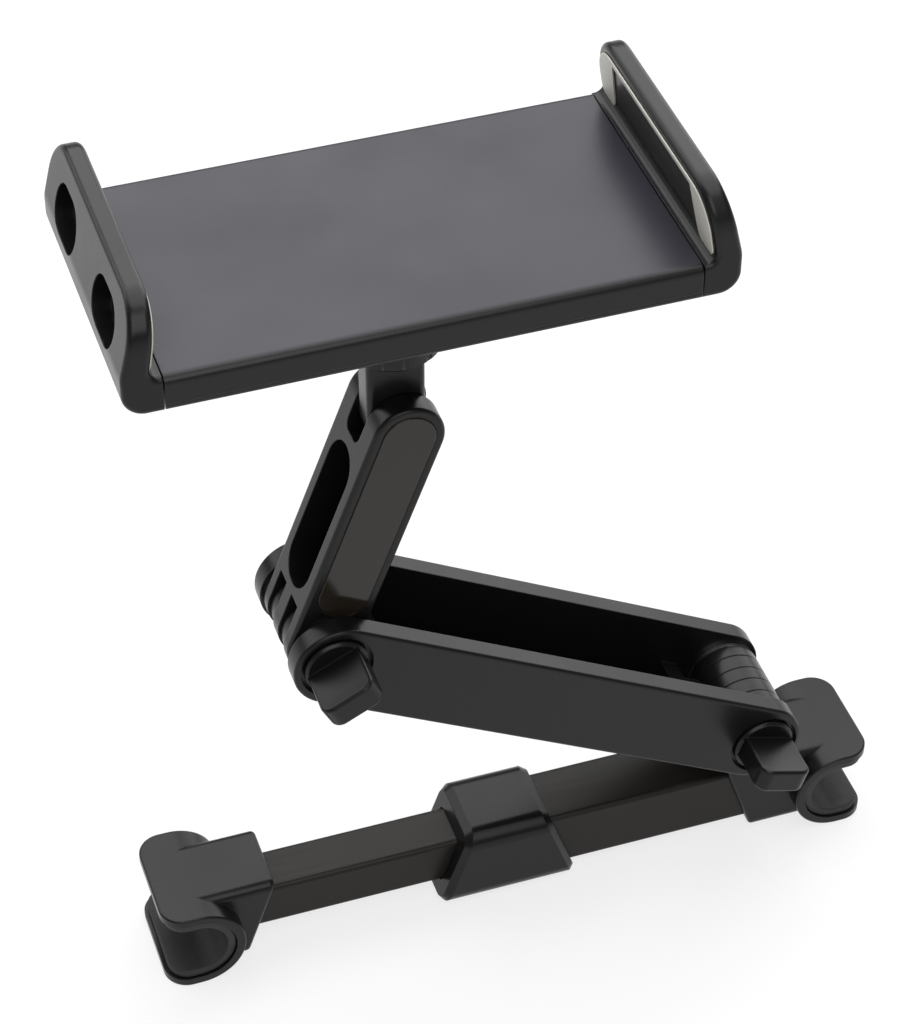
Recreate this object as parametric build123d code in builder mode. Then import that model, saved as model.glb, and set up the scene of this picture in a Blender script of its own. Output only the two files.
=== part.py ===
import math
import os

from build123d import *

# Headrest tablet mount: a telescopic bar between two post clamps, two hinged arms and a tablet cradle.
# Millimetres. +X runs along the bar, +Y goes away from the viewer, +Z is up and the clamps rest on Z = 0.

# Clearances
FIT = 0.05  # glued or pressed pieces, per side
RUN = 0.06  # turning fit, on the radius
SLIP = 0.1  # guide faces of the telescopic bar, per side
SIDE = 0.25  # between flat faces that move past each other
SEAM = 0.3  # shut line between mouldings
FREE = 0.6  # between round faces that turn past each other without touching

# Telescopic bar
IN_TUBE = 12.7
IN_WALL = 1.2
OUT_WALL = 1.5
BUSH_T = 0.4
TUBE_RND = 1.3
BORE_RND = 0.6
BUSH_RND = 1.1
BAR_TRAVEL = 36.0
PLUG_T = 3.0
PLUG_IN = 8.0
COIL_R = 4.4
COIL_WIRE = 0.7
COIL_SEAT = 0.9
COILS = 8
OUT_BORE = IN_TUBE + 2 * (SLIP + BUSH_T + FIT)
OUT_TUBE = OUT_BORE + 2 * OUT_WALL
IN_BORE = IN_TUBE - 2 * IN_WALL

# Post clamps
POST_SPAN = 168.2
POST_R = 7.2
LINER_T = 2.2
LINER_IN = 0.6
LINER_BACK = 1.0
JAW_WALL = 2.3
JAW_W = 30.0
LIP = 8.2
LIP_RND = 6.0
LIP_EDGE = 0.5
BLOCK_DROP = 0.4
BLOCK_RND = 2.4
BLOCK_EDGE = 1.0
CUT = 2.0  # how far a cutter reaches past the piece
BLOCK_WEB = 1.7
RIGHT_BLOCK = 29.5
LEFT_BLOCK = 21.2
SLANT_DEG = 19.0
JAW_BORE = POST_R + LINER_T
JAW_R = JAW_BORE + JAW_WALL
LINER_OUT = JAW_BORE - FIT
SLANT = math.tan(math.radians(SLANT_DEG))
AXIS_Z = JAW_R
JAW_TOP = 2 * JAW_R

# Screws through the backs of the clamps
SCREW_R = 1.4
SCREW_BITE = 1.5
SCREW_HEAD_R = 2.7
SCREW_HEAD = 1.7
SCREW_SINK = 0.9
RIGHT_SCREW_IN = 19.0
LEFT_SCREW_IN = 14.0

# Collar on the open end of the outer tube
COLLAR_WALL = 3.0
COLLAR_RND = 4.5
COLLAR_TOP = 21.0
COLLAR_BEVEL = 1.5
COLLAR_OFF = -3.2
COLLAR_LIP = 2.0
COLLAR = OUT_TUBE + 2 * COLLAR_WALL

# Hinges
BOLT_R = 3.0
STUD_R = 2.0
BOLT_PAST = 6.0
HINGE_IN = 23.3
HINGE_RISE = 14.3
PLATE_R = 10.9
BASE_INSET = 1.4
ELBOW_INSET = 0.8
KNUCKLE_R = 9.1
KNUCKLE_DROP = 2.0
PLATE_T = 5.3
MID_FINGER = 3.9
LUG_T = 4.15
FINGER_T = 3.4
FINGER_SINK = 2.6
MID_SINK = 1.0
FINGER_TOE = 1.0
FINGER_HEEL = 12.8
WASHER_T = 1.3
WASHER_FREE = 0.1
KNUCKLE_SIDE = math.sqrt(KNUCKLE_R**2 - KNUCKLE_DROP**2)
LUG_R = KNUCKLE_R
WASHER_R = KNUCKLE_R - SLIP * 2
LUG_IN = MID_FINGER / 2 + SIDE
LUG_OUT = LUG_IN + LUG_T
FINGER_IN = LUG_OUT + SIDE
FINGER_OUT = FINGER_IN + FINGER_T
GAP = 2 * (FINGER_OUT + WASHER_FREE + WASHER_T + FIT)
ARM_W = GAP + 2 * PLATE_T
BLOCK_W = 2 * FINGER_OUT
BLOCK_H = JAW_TOP - BLOCK_DROP

# Lower arm
ARM1_LEN = 124.3
ARM1_DEG = 29.15
FLOOR_T = 2.0
WEB_T = 5.0
WEB_TOP = -1.0
WEB_OFF = 2.6
LUG_ROOT = 1.0
ARM_EDGE = 0.8
KNOB_SEAT = 1.6
HEAD_SEAT = 2.0
HEAD_SEAT_R = 6.6
HEAD_PROUD = 0.8
HEAD_RND = 1.2
WEB_AT = PLATE_R + WEB_OFF
KNOB_SEAT_R = KNUCKLE_R - 2 * SIDE

# Upper arm
ARM2_LEN = 60.0
ARM2_DEG = 71.5
ARM2_D = 16.8
ARM2_OUT = 1.4
ARM2_IN = 0.8
ARM2_EDGE = 1.0
POCKET_RIM = 3.5
POCKET_FLOOR = 2.4
POCKET_END = 1.0
NECK_R = 6.7
NECK_T = 7.6
NECK_RND = 1.4
FORK_DEEP = 7.2
FORK_RND = 2.5
FORK_WALL = 2.8
TRIM_RIM = 2.1
TRIM_T = 1.1
TRIM_SEAT = 1.0
TRIM_GAP = 0.15
PIN_R = 2.5
ARM2_W = 2 * FINGER_OUT
BODY_LEN = math.hypot(ARM2_LEN, ARM2_OUT + ARM2_IN)
FORK_W = NECK_T + 2 * SEAM
FORK_FROM = BODY_LEN - FORK_DEEP
POCKET_FROM = LUG_R + FREE + POCKET_END
POCKET_TO = FORK_FROM - FORK_WALL
POCKET_W = ARM2_W - 2 * POCKET_RIM
TRIM_W = ARM2_D - 2 * TRIM_RIM
TRIM_FROM = WASHER_R + SEAM + TRIM_W / 2

# Knobs
KNOB_LEN = 14.8
KNOB_W = 13.6
KNOB_TIP = 6.6
KNOB_WAIST = 5.8
KNOB_ROOT = 6.6
KNOB_CORNER = 3.0
KNOB_EDGE = 0.8
KNOB_FOOT = 1.4
KNOB_FOOT_BEVEL = 0.6
KNOB_FOOT_DEG = 45.0
STUD_GAP = 1.0
KNOB_R = KNOB_SEAT_R - 3 * SEAM
BASE_KNOB_DEG = -18.0
ELBOW_KNOB_DEG = 27.0

# Ball joint
HEAD_RISE = 42.1
NECK_DROP = 11.2
STEM_R = 3.6
BALL_R = 7.5
BALL_DROP = 12.9
SEAT_WALL = 1.1
SEAT_UNDER = 3.4
SEAT_OVER = 6.0
CUP_WALL = 1.25
CUP_FLARE = 4.4
CUP_WELL = 0.8
CUP_WELL_R = 5.6
NUT_WALL = 1.14
NUT_MOUTH = 7.3
NUT_LOW = 9.7
NUT_HIGH = 2.7
NUT_GRIPS = 12
NUT_GRIP_R = 1.1
NUT_GRIP_OUT = 0.7
NUT_BEVEL = 1.2
SEAT_R = BALL_R + SEAT_WALL
CUP_R = SEAT_R + FIT + CUP_WALL
NUT_R = CUP_R + RUN + NUT_WALL

# Cradle
CR_L = 114.5
CR_D = 67.5
COVER_T = 1.6
COVER_RND = 1.3
CR_EDGE = 2.0
TOP_T = 2.1
BODY_END = 2.5
RAIL_IN = 8.25
RAIL_W = 8.0
RAIL_H = 4.2
RAIL_END = 3.0
RAIL_GROOVE_W = 4.4
RAIL_ROOF = 0.9
RIB_T = 1.9
RAIL_ROOT = 0.5
BOSS_IN = 16.85
BOSS_OFF = 11.2
BOSS_R = 3.2
COVER_SCREW_R = 1.2
COVER_HEAD_R = 2.3
COVER_HEAD = 0.9
COVER_BITE = 3.4
COVER_TIP = 0.4
RAIL_Y = CR_D / 2 - RAIL_IN
BOSS_X = CR_L / 2 - BOSS_IN
BOSS_Y = RAIL_Y - BOSS_OFF
CR_T = COVER_T + RAIL_H + 2 * SIDE + TOP_T

# Cradle jaws, pads and springs
WALL_UP = 16.9
JAW_FOOT = 2.65
CR_WALL = 5.8
WALL_LEAN = 2.7
WALL_RIM = 4.7
WALL_BEND = 1.0
WALL_BEND_RND = 9.0
WALL_COVE = 2.0
WALL_HEEL = 5.0
WALL_CORNER = 10.0
WALL_EDGE = 1.3
HOLE_Y = 16.2
HOLE_L = 17.0
HOLE_H = 12.4
HOLE_UP = 5.0
HOLE_WEB = 1.6
PAD_T = 1.0
PAD_LOW = 2.6
PAD_TOP = 1.6
PAD_FOOT = 7.0
PAD_SLANT = 2.0
PAD_STRIP = 1.4
PAD_END = 3.2
PAD_CORNER = 7.0
PAD_RND = 2.4
SPRING_R = 1.3
SPRING_EYE = 1.45
SPRING_WIRE = 0.3
HOOK_R = 0.8
HOOK_IN = 5.0
GROOVE_PAST = 2.4
PAD_HALF = CR_D / 2 - PAD_END
PAD_HIGH = math.hypot(WALL_UP, WALL_LEAN) - PAD_TOP
PAD_IN = PAD_HALF - PAD_FOOT

# Derived places
ARM1 = math.radians(ARM1_DEG)
ARM2 = math.radians(ARM2_DEG)
BODY = ARM2 - math.atan2(ARM2_OUT + ARM2_IN, ARM2_LEN)
FOOT_U = CR_L / 2 + SEAM
WALL_U = FOOT_U + JAW_FOOT
HOOK_U = FOOT_U - HOOK_IN
JAW_OUT = WALL_U + CR_WALL
HEAD_OFF = POST_SPAN / 2 - HINGE_IN - ARM1_LEN * math.cos(ARM1) + ARM2_LEN * math.cos(ARM2)
BAR_X = (JAW_OUT - HEAD_OFF - POST_SPAN / 2 - LIP) / 2
RIGHT_X = BAR_X + POST_SPAN / 2
LEFT_X = BAR_X - POST_SPAN / 2
BASE_X = RIGHT_X - HINGE_IN
BASE_Z = JAW_TOP + HINGE_RISE
ELBOW_X = BASE_X - ARM1_LEN * math.cos(ARM1)
ELBOW_Z = BASE_Z + ARM1_LEN * math.sin(ARM1)
TILT_X = ELBOW_X + ARM2_LEN * math.cos(ARM2)
TILT_Z = ELBOW_Z + ARM2_LEN * math.sin(ARM2)
CR_LOW = TILT_Z + HEAD_RISE
CR_TOP = CR_LOW + CR_T
BODY_LOW = CR_LOW + COVER_T + FIT
BALL_Z = CR_LOW - BALL_DROP
NECK_Z = BALL_Z - NECK_DROP
COLLAR_X = BAR_X + COLLAR_OFF
COLLAR_LOW = AXIS_Z - COLLAR / 2
COLLAR_HALF = COLLAR_TOP / 2 + SLANT * COLLAR
RIGHT_TOP = RIGHT_X - RIGHT_BLOCK
LEFT_TOP = LEFT_X + LEFT_BLOCK
OUT_X0 = COLLAR_X - COLLAR_TOP / 2 + COLLAR_LIP
OUT_X1 = RIGHT_X - JAW_BORE - BLOCK_WEB
IN_X0 = LEFT_X + JAW_BORE + BLOCK_WEB
IN_X1 = OUT_X1 - PLUG_T - BAR_TRAVEL - 2 * COIL_WIRE * (COILS + 2)
BUSH_X1 = IN_X1 - SEAM
SPRING_X0 = IN_X1 + PLUG_T + COIL_SEAT
SPRING_X1 = OUT_X1 - COIL_SEAT
KNOB_Y0 = ARM_W / 2 - KNOB_SEAT + SIDE
KNOB_Y1 = KNOB_Y0 + KNOB_LEN
KNOB_MID = KNOB_Y0 + KNOB_LEN / 2
BASE_TURN = math.radians(BASE_KNOB_DEG)
RAIL_LOW = BODY_LOW - FIT + SIDE
RAIL_TOP = RAIL_LOW + RAIL_H
GROOVE_H = RAIL_H - RAIL_ROOF
SPRING_Z = RAIL_LOW + GROOVE_H / 2
WALL_TOP = CR_TOP + WALL_UP

# Planes: those of the arms and clamps face the viewer, with the piece's own axis as the origin
LOWER = Plane(
    origin=(ELBOW_X, 0, ELBOW_Z),
    x_dir=(math.cos(ARM1), 0, -math.sin(ARM1)),
    z_dir=(0, -1, 0),
)
UPPER = Plane(
    origin=(ELBOW_X, 0, ELBOW_Z),
    x_dir=(math.cos(ARM2), 0, math.sin(ARM2)),
    z_dir=(0, -1, 0),
)
UPPER_BODY = Plane(
    origin=(ELBOW_X - ARM2_OUT * math.sin(ARM2), 0, ELBOW_Z + ARM2_OUT * math.cos(ARM2)),
    x_dir=(math.cos(BODY), 0, math.sin(BODY)),
    z_dir=(0, -1, 0),
)
UPPER_FACE = Plane(
    origin=UPPER_BODY.origin,
    x_dir=UPPER_BODY.x_dir,
    z_dir=UPPER_BODY.y_dir,
)
BASE = Plane(origin=(BASE_X, 0, BASE_Z), x_dir=(1, 0, 0), z_dir=(0, -1, 0))
ELBOW = Plane(origin=(ELBOW_X, 0, ELBOW_Z), x_dir=(1, 0, 0), z_dir=(0, -1, 0))
TILT = Plane(origin=(TILT_X, 0, TILT_Z), x_dir=(1, 0, 0), z_dir=(0, -1, 0))
RIGHT = Plane(origin=(RIGHT_X, 0, AXIS_Z), x_dir=(1, 0, 0), z_dir=(0, -1, 0))
LEFT = Plane(origin=(LEFT_X, 0, AXIS_Z), x_dir=(-1, 0, 0), z_dir=(0, 1, 0))
FRONT = Plane(origin=(0, 0, 0), x_dir=(1, 0, 0), z_dir=(0, -1, 0))
HEAD = Plane(origin=(TILT_X, 0, 0), x_dir=(1, 0, 0), z_dir=(0, 0, 1))
HEAD_FRONT = Plane(origin=(TILT_X, 0, 0), x_dir=(1, 0, 0), z_dir=(0, -1, 0))
HEAD_MIRROR = Plane(origin=(TILT_X, 0, 0), z_dir=(1, 0, 0))
RIGHT_SCREW = Plane(
    origin=(RIGHT_X - RIGHT_SCREW_IN, 0, AXIS_Z),
    x_dir=(1, 0, 0),
    z_dir=(0, 1, 0),
)
LEFT_SCREW = Plane(
    origin=(LEFT_X + LEFT_SCREW_IN, 0, AXIS_Z),
    x_dir=(1, 0, 0),
    z_dir=(0, 1, 0),
)
BASE_WING = Plane(
    origin=(BASE_X, 0, BASE_Z),
    x_dir=(-math.sin(BASE_TURN), 0, math.cos(BASE_TURN)),
    z_dir=(math.cos(BASE_TURN), 0, math.sin(BASE_TURN)),
)
JAW_FACE = Plane(
    origin=(TILT_X + WALL_U, 0, CR_TOP),
    x_dir=(0, 1, 0),
    z_dir=(WALL_UP, 0, WALL_LEAN),
)
UP = (Align.CENTER, Align.CENTER, Align.MIN)


def across(x, z=AXIS_Z):
    """A plane square to the bar at x, with +Y to its right and height z at its middle."""
    return Plane(origin=(x, 0, z), x_dir=(0, 1, 0), z_dir=(1, 0, 0))


def soft_lip(edge):
    """Whether an edge of a clamp jaw is rounded: all but the upright ones and the seam above the post."""
    if edge.geom_type == GeomType.LINE and abs(edge.tangent_at(0.5).Z) > 0.9:
        return False
    return abs(edge.tangent_at(0.5).Y) < 0.9 or abs(edge.center().X - BAR_X) > POST_SPAN / 2 + LIP / 2


def soft_end(edge):
    """Whether an edge of a cradle jaw is rounded: the rim and the outlines of its two ends."""
    if edge.center().X < TILT_X + FOOT_U + FIT:
        return False
    if abs(edge.tangent_at(0.5).Y) > 0.99:
        return edge.center().Z > WALL_TOP - FIT
    return abs(edge.tangent_at(0.5).X) < 0.99 or edge.center().Z < CR_TOP + FIT


os.makedirs("parts", exist_ok=True)

# Outer tube, the fixed half of the bar
with BuildPart() as outer_tube:
    with BuildSketch(across(OUT_X0)):
        RectangleRounded(OUT_TUBE, OUT_TUBE, TUBE_RND)
        RectangleRounded(OUT_BORE, OUT_BORE, BORE_RND, mode=Mode.SUBTRACT)
    extrude(amount=OUT_X1 - OUT_X0)
    with BuildSketch(RIGHT_SCREW):
        Circle(SCREW_R + FIT)
    extrude(amount=OUT_TUBE, mode=Mode.SUBTRACT)
outer_tube.part.label = "outer_tube"
export_step(outer_tube.part, "parts/outer_tube.step")

# Collar with slanted ends that match the blocks of the clamps
with BuildPart() as bar_collar:
    with BuildSketch(across(COLLAR_X - COLLAR_HALF)):
        RectangleRounded(COLLAR, COLLAR, COLLAR_RND)
    extrude(amount=2 * COLLAR_HALF)
    with BuildSketch(FRONT):
        with BuildLine():
            Polyline(
                (COLLAR_X - COLLAR_HALF - CUT, COLLAR_LOW + COLLAR + CUT),
                (COLLAR_X - COLLAR_TOP / 2 + SLANT * CUT, COLLAR_LOW + COLLAR + CUT),
                (COLLAR_X - COLLAR_HALF - SLANT * CUT, COLLAR_LOW - CUT),
                (COLLAR_X - COLLAR_HALF - CUT, COLLAR_LOW - CUT),
                close=True,
            )
        make_face()
        mirror(about=Plane(origin=(COLLAR_X, 0, 0), z_dir=(1, 0, 0)))
    extrude(amount=COLLAR, both=True, mode=Mode.SUBTRACT)
    chamfer(bar_collar.faces().sort_by(Axis.X)[0].edges(), COLLAR_BEVEL)
    chamfer(bar_collar.faces().sort_by(Axis.X)[-1].edges(), COLLAR_BEVEL)
    with BuildSketch(across(OUT_X0 - FIT)):
        RectangleRounded(OUT_TUBE + 2 * FIT, OUT_TUBE + 2 * FIT, TUBE_RND)
    extrude(amount=COLLAR_HALF * 2, mode=Mode.SUBTRACT)
    with BuildSketch(across(COLLAR_X - COLLAR_HALF)):
        RectangleRounded(IN_TUBE + 2 * SIDE, IN_TUBE + 2 * SIDE, TUBE_RND)
    extrude(amount=COLLAR_HALF, mode=Mode.SUBTRACT)
bar_collar.part.label = "bar_collar"
export_step(bar_collar.part, "parts/bar_collar.step")

# Guide bush between the tubes, which also stops the inner tube's plug
with BuildPart() as guide_bush:
    with BuildSketch(across(OUT_X0 + FIT)):
        RectangleRounded(OUT_BORE - 2 * FIT, OUT_BORE - 2 * FIT, BORE_RND)
        RectangleRounded(IN_TUBE + 2 * SLIP, IN_TUBE + 2 * SLIP, BUSH_RND, mode=Mode.SUBTRACT)
    extrude(amount=BUSH_X1 - OUT_X0 - FIT)
guide_bush.part.label = "guide_bush"
export_step(guide_bush.part, "parts/guide_bush.step")

# Inner tube, which slides
with BuildPart() as inner_tube:
    with BuildSketch(across(IN_X0)):
        RectangleRounded(IN_TUBE, IN_TUBE, TUBE_RND)
        RectangleRounded(IN_BORE, IN_BORE, BORE_RND, mode=Mode.SUBTRACT)
    extrude(amount=IN_X1 - IN_X0)
    with BuildSketch(LEFT_SCREW):
        Circle(SCREW_R + FIT)
    extrude(amount=IN_TUBE, mode=Mode.SUBTRACT)
inner_tube.part.label = "inner_tube"
export_step(inner_tube.part, "parts/inner_tube.step")

# Plug in the end of the inner tube
with BuildPart() as slide_plug:
    with BuildSketch(across(IN_X1 + FIT)):
        RectangleRounded(OUT_BORE - 2 * SLIP, OUT_BORE - 2 * SLIP, BORE_RND)
    extrude(amount=PLUG_T)
    with BuildSketch(across(IN_X1 + FIT)):
        RectangleRounded(IN_BORE - 2 * FIT, IN_BORE - 2 * FIT, BORE_RND)
    extrude(amount=-PLUG_IN)
slide_plug.part.label = "slide_plug"
export_step(slide_plug.part, "parts/slide_plug.step")

# Spring that pushes the clamps apart
with BuildPart() as bar_spring:
    with BuildLine():
        coil = Helix(
            pitch=(SPRING_X1 - SPRING_X0) / COILS,
            height=SPRING_X1 - SPRING_X0,
            radius=COIL_R,
            center=(SPRING_X0, 0, AXIS_Z),
            direction=(1, 0, 0),
        )
    with BuildSketch(Plane(origin=coil @ 0, z_dir=coil % 0)):
        RegularPolygon(COIL_WIRE, 6)
    sweep(is_frenet=True)
bar_spring.part.label = "bar_spring"
export_step(bar_spring.part, "parts/bar_spring.step")

# Right clamp: jaw, socket block and the knuckles of the base hinge
with BuildPart() as right_clamp_jaw:
    with BuildSketch(RIGHT):
        Circle(JAW_R)
        with Locations((JAW_R, 0)):
            Rectangle(2 * JAW_R, 2 * JAW_R, mode=Mode.SUBTRACT)
        with Locations((LIP / 2, 0)):
            Rectangle(LIP, 2 * JAW_R)
    extrude(amount=JAW_W / 2, both=True)
    fillet(right_clamp_jaw.edges().filter_by(Axis.Z).group_by(Axis.X)[-1], LIP_RND)
    fillet(right_clamp_jaw.edges().filter_by(soft_lip), LIP_EDGE)
    with BuildSketch(across(RIGHT_TOP)):
        with Locations((0, JAW_R - BLOCK_H / 2)):
            RectangleRounded(BLOCK_W, BLOCK_H, BLOCK_RND)
    extrude(amount=RIGHT_X - RIGHT_TOP)
    with BuildSketch(FRONT):
        Polygon(
            (RIGHT_TOP - CUT, JAW_TOP + CUT),
            (RIGHT_TOP - SLANT * CUT, JAW_TOP + CUT),
            (RIGHT_TOP + SLANT * (JAW_TOP + CUT), -CUT),
            (RIGHT_TOP - CUT, -CUT),
            align=None,
        )
    extrude(amount=BLOCK_W, both=True, mode=Mode.SUBTRACT)
    fillet(right_clamp_jaw.faces().sort_by(Axis.X)[0].edges(), BLOCK_EDGE)
    with BuildSketch(RIGHT):
        Circle(JAW_BORE)
        with Locations((LIP, 0)):
            Rectangle(2 * LIP, 2 * JAW_BORE)
    extrude(amount=JAW_W, both=True, mode=Mode.SUBTRACT)
    with BuildSketch(across(RIGHT_TOP - CUT)):
        RectangleRounded(OUT_TUBE + 2 * FIT, OUT_TUBE + 2 * FIT, TUBE_RND)
    extrude(amount=OUT_X1 + FIT - RIGHT_TOP + CUT, mode=Mode.SUBTRACT)
    with BuildSketch(FRONT.offset(-MID_FINGER / 2)):
        with Locations((BASE_X, BASE_Z)):
            Circle(KNUCKLE_R)
        Polygon(
            (RIGHT_TOP + FINGER_TOE, JAW_TOP - MID_SINK),
            (BASE_X + FINGER_HEEL, JAW_TOP - MID_SINK),
            (BASE_X + KNUCKLE_SIDE, BASE_Z - KNUCKLE_DROP),
            (BASE_X - KNUCKLE_SIDE, BASE_Z - KNUCKLE_DROP),
            align=None,
        )
    extrude(amount=MID_FINGER)
    with BuildSketch(FRONT.offset(FINGER_IN), FRONT.offset(-FINGER_OUT)):
        with Locations((BASE_X, BASE_Z)):
            Circle(KNUCKLE_R)
        Polygon(
            (RIGHT_TOP + FINGER_TOE, JAW_TOP - FINGER_SINK),
            (BASE_X + FINGER_HEEL, JAW_TOP - FINGER_SINK),
            (BASE_X + KNUCKLE_SIDE, BASE_Z - KNUCKLE_DROP),
            (BASE_X - KNUCKLE_SIDE, BASE_Z - KNUCKLE_DROP),
            align=None,
        )
    extrude(amount=FINGER_T)
    with BuildSketch(BASE):
        Circle(BOLT_R + RUN)
    extrude(amount=ARM_W, both=True, mode=Mode.SUBTRACT)
    with BuildSketch(RIGHT_SCREW):
        Circle(SCREW_R + FIT)
    extrude(amount=BLOCK_W, mode=Mode.SUBTRACT)
    with BuildSketch(RIGHT_SCREW.offset(BLOCK_W / 2 - SCREW_SINK)):
        Circle(SCREW_HEAD_R + FIT)
    extrude(amount=BLOCK_W, mode=Mode.SUBTRACT)
right_clamp_jaw.part.label = "right_clamp_jaw"
export_step(right_clamp_jaw.part, "parts/right_clamp_jaw.step")

# Rubber liner of the right clamp
with BuildPart() as right_jaw_liner:
    with BuildSketch(RIGHT):
        Circle(LINER_OUT)
        with Locations(((LIP - LINER_BACK) / 2, 0)):
            Rectangle(LIP - LINER_BACK, 2 * LINER_OUT)
        Circle(POST_R, mode=Mode.SUBTRACT)
        with Locations((LIP, 0)):
            Rectangle(2 * LIP, 2 * POST_R, mode=Mode.SUBTRACT)
    extrude(amount=JAW_W / 2 - LINER_IN, both=True)
    fillet(right_jaw_liner.edges().filter_by(Axis.Z).group_by(Axis.X)[-1], LIP_RND - LINER_BACK)
right_jaw_liner.part.label = "right_jaw_liner"
export_step(right_jaw_liner.part, "parts/right_jaw_liner.step")

# Screw that holds the outer tube in the right clamp
with BuildPart() as right_tube_screw:
    with BuildSketch(RIGHT_SCREW.offset(OUT_BORE / 2 - SCREW_BITE)):
        Circle(SCREW_R)
    extrude(amount=BLOCK_W / 2 - SCREW_SINK + FIT - OUT_BORE / 2 + SCREW_BITE)
    with BuildSketch(RIGHT_SCREW.offset(BLOCK_W / 2 - SCREW_SINK + FIT)):
        Circle(SCREW_HEAD_R)
    extrude(amount=SCREW_HEAD)
right_tube_screw.part.label = "right_tube_screw"
export_step(right_tube_screw.part, "parts/right_tube_screw.step")

# Left clamp: jaw and socket block
with BuildPart() as left_clamp_jaw:
    with BuildSketch(LEFT):
        Circle(JAW_R)
        with Locations((JAW_R, 0)):
            Rectangle(2 * JAW_R, 2 * JAW_R, mode=Mode.SUBTRACT)
        with Locations((LIP / 2, 0)):
            Rectangle(LIP, 2 * JAW_R)
    extrude(amount=JAW_W / 2, both=True)
    fillet(left_clamp_jaw.edges().filter_by(Axis.Z).group_by(Axis.X)[0], LIP_RND)
    fillet(left_clamp_jaw.edges().filter_by(soft_lip), LIP_EDGE)
    with BuildSketch(across(LEFT_X)):
        with Locations((0, JAW_R - BLOCK_H / 2)):
            RectangleRounded(BLOCK_W, BLOCK_H, BLOCK_RND)
    extrude(amount=LEFT_TOP - LEFT_X)
    with BuildSketch(FRONT):
        Polygon(
            (LEFT_TOP + CUT, JAW_TOP + CUT),
            (LEFT_TOP + SLANT * CUT, JAW_TOP + CUT),
            (LEFT_TOP - SLANT * (JAW_TOP + CUT), -CUT),
            (LEFT_TOP + CUT, -CUT),
            align=None,
        )
    extrude(amount=BLOCK_W, both=True, mode=Mode.SUBTRACT)
    fillet(left_clamp_jaw.faces().sort_by(Axis.X)[-1].edges(), BLOCK_EDGE)
    with BuildSketch(LEFT):
        Circle(JAW_BORE)
        with Locations((LIP, 0)):
            Rectangle(2 * LIP, 2 * JAW_BORE)
    extrude(amount=JAW_W, both=True, mode=Mode.SUBTRACT)
    with BuildSketch(across(IN_X0 - FIT)):
        RectangleRounded(IN_TUBE + 2 * FIT, IN_TUBE + 2 * FIT, TUBE_RND)
    extrude(amount=LEFT_TOP - IN_X0 + CUT, mode=Mode.SUBTRACT)
    with BuildSketch(LEFT_SCREW):
        Circle(SCREW_R + FIT)
    extrude(amount=BLOCK_W, mode=Mode.SUBTRACT)
    with BuildSketch(LEFT_SCREW.offset(BLOCK_W / 2 - SCREW_SINK)):
        Circle(SCREW_HEAD_R + FIT)
    extrude(amount=BLOCK_W, mode=Mode.SUBTRACT)
left_clamp_jaw.part.label = "left_clamp_jaw"
export_step(left_clamp_jaw.part, "parts/left_clamp_jaw.step")

# Rubber liner of the left clamp
with BuildPart() as left_jaw_liner:
    with BuildSketch(LEFT):
        Circle(LINER_OUT)
        with Locations(((LIP - LINER_BACK) / 2, 0)):
            Rectangle(LIP - LINER_BACK, 2 * LINER_OUT)
        Circle(POST_R, mode=Mode.SUBTRACT)
        with Locations((LIP, 0)):
            Rectangle(2 * LIP, 2 * POST_R, mode=Mode.SUBTRACT)
    extrude(amount=JAW_W / 2 - LINER_IN, both=True)
    fillet(left_jaw_liner.edges().filter_by(Axis.Z).group_by(Axis.X)[0], LIP_RND - LINER_BACK)
left_jaw_liner.part.label = "left_jaw_liner"
export_step(left_jaw_liner.part, "parts/left_jaw_liner.step")

# Screw that holds the inner tube in the left clamp
with BuildPart() as left_tube_screw:
    with BuildSketch(LEFT_SCREW.offset(IN_BORE / 2 - SCREW_BITE)):
        Circle(SCREW_R)
    extrude(amount=BLOCK_W / 2 - SCREW_SINK + FIT - IN_BORE / 2 + SCREW_BITE)
    with BuildSketch(LEFT_SCREW.offset(BLOCK_W / 2 - SCREW_SINK + FIT)):
        Circle(SCREW_HEAD_R)
    extrude(amount=SCREW_HEAD)
left_tube_screw.part.label = "left_tube_screw"
export_step(left_tube_screw.part, "parts/left_tube_screw.step")

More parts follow.
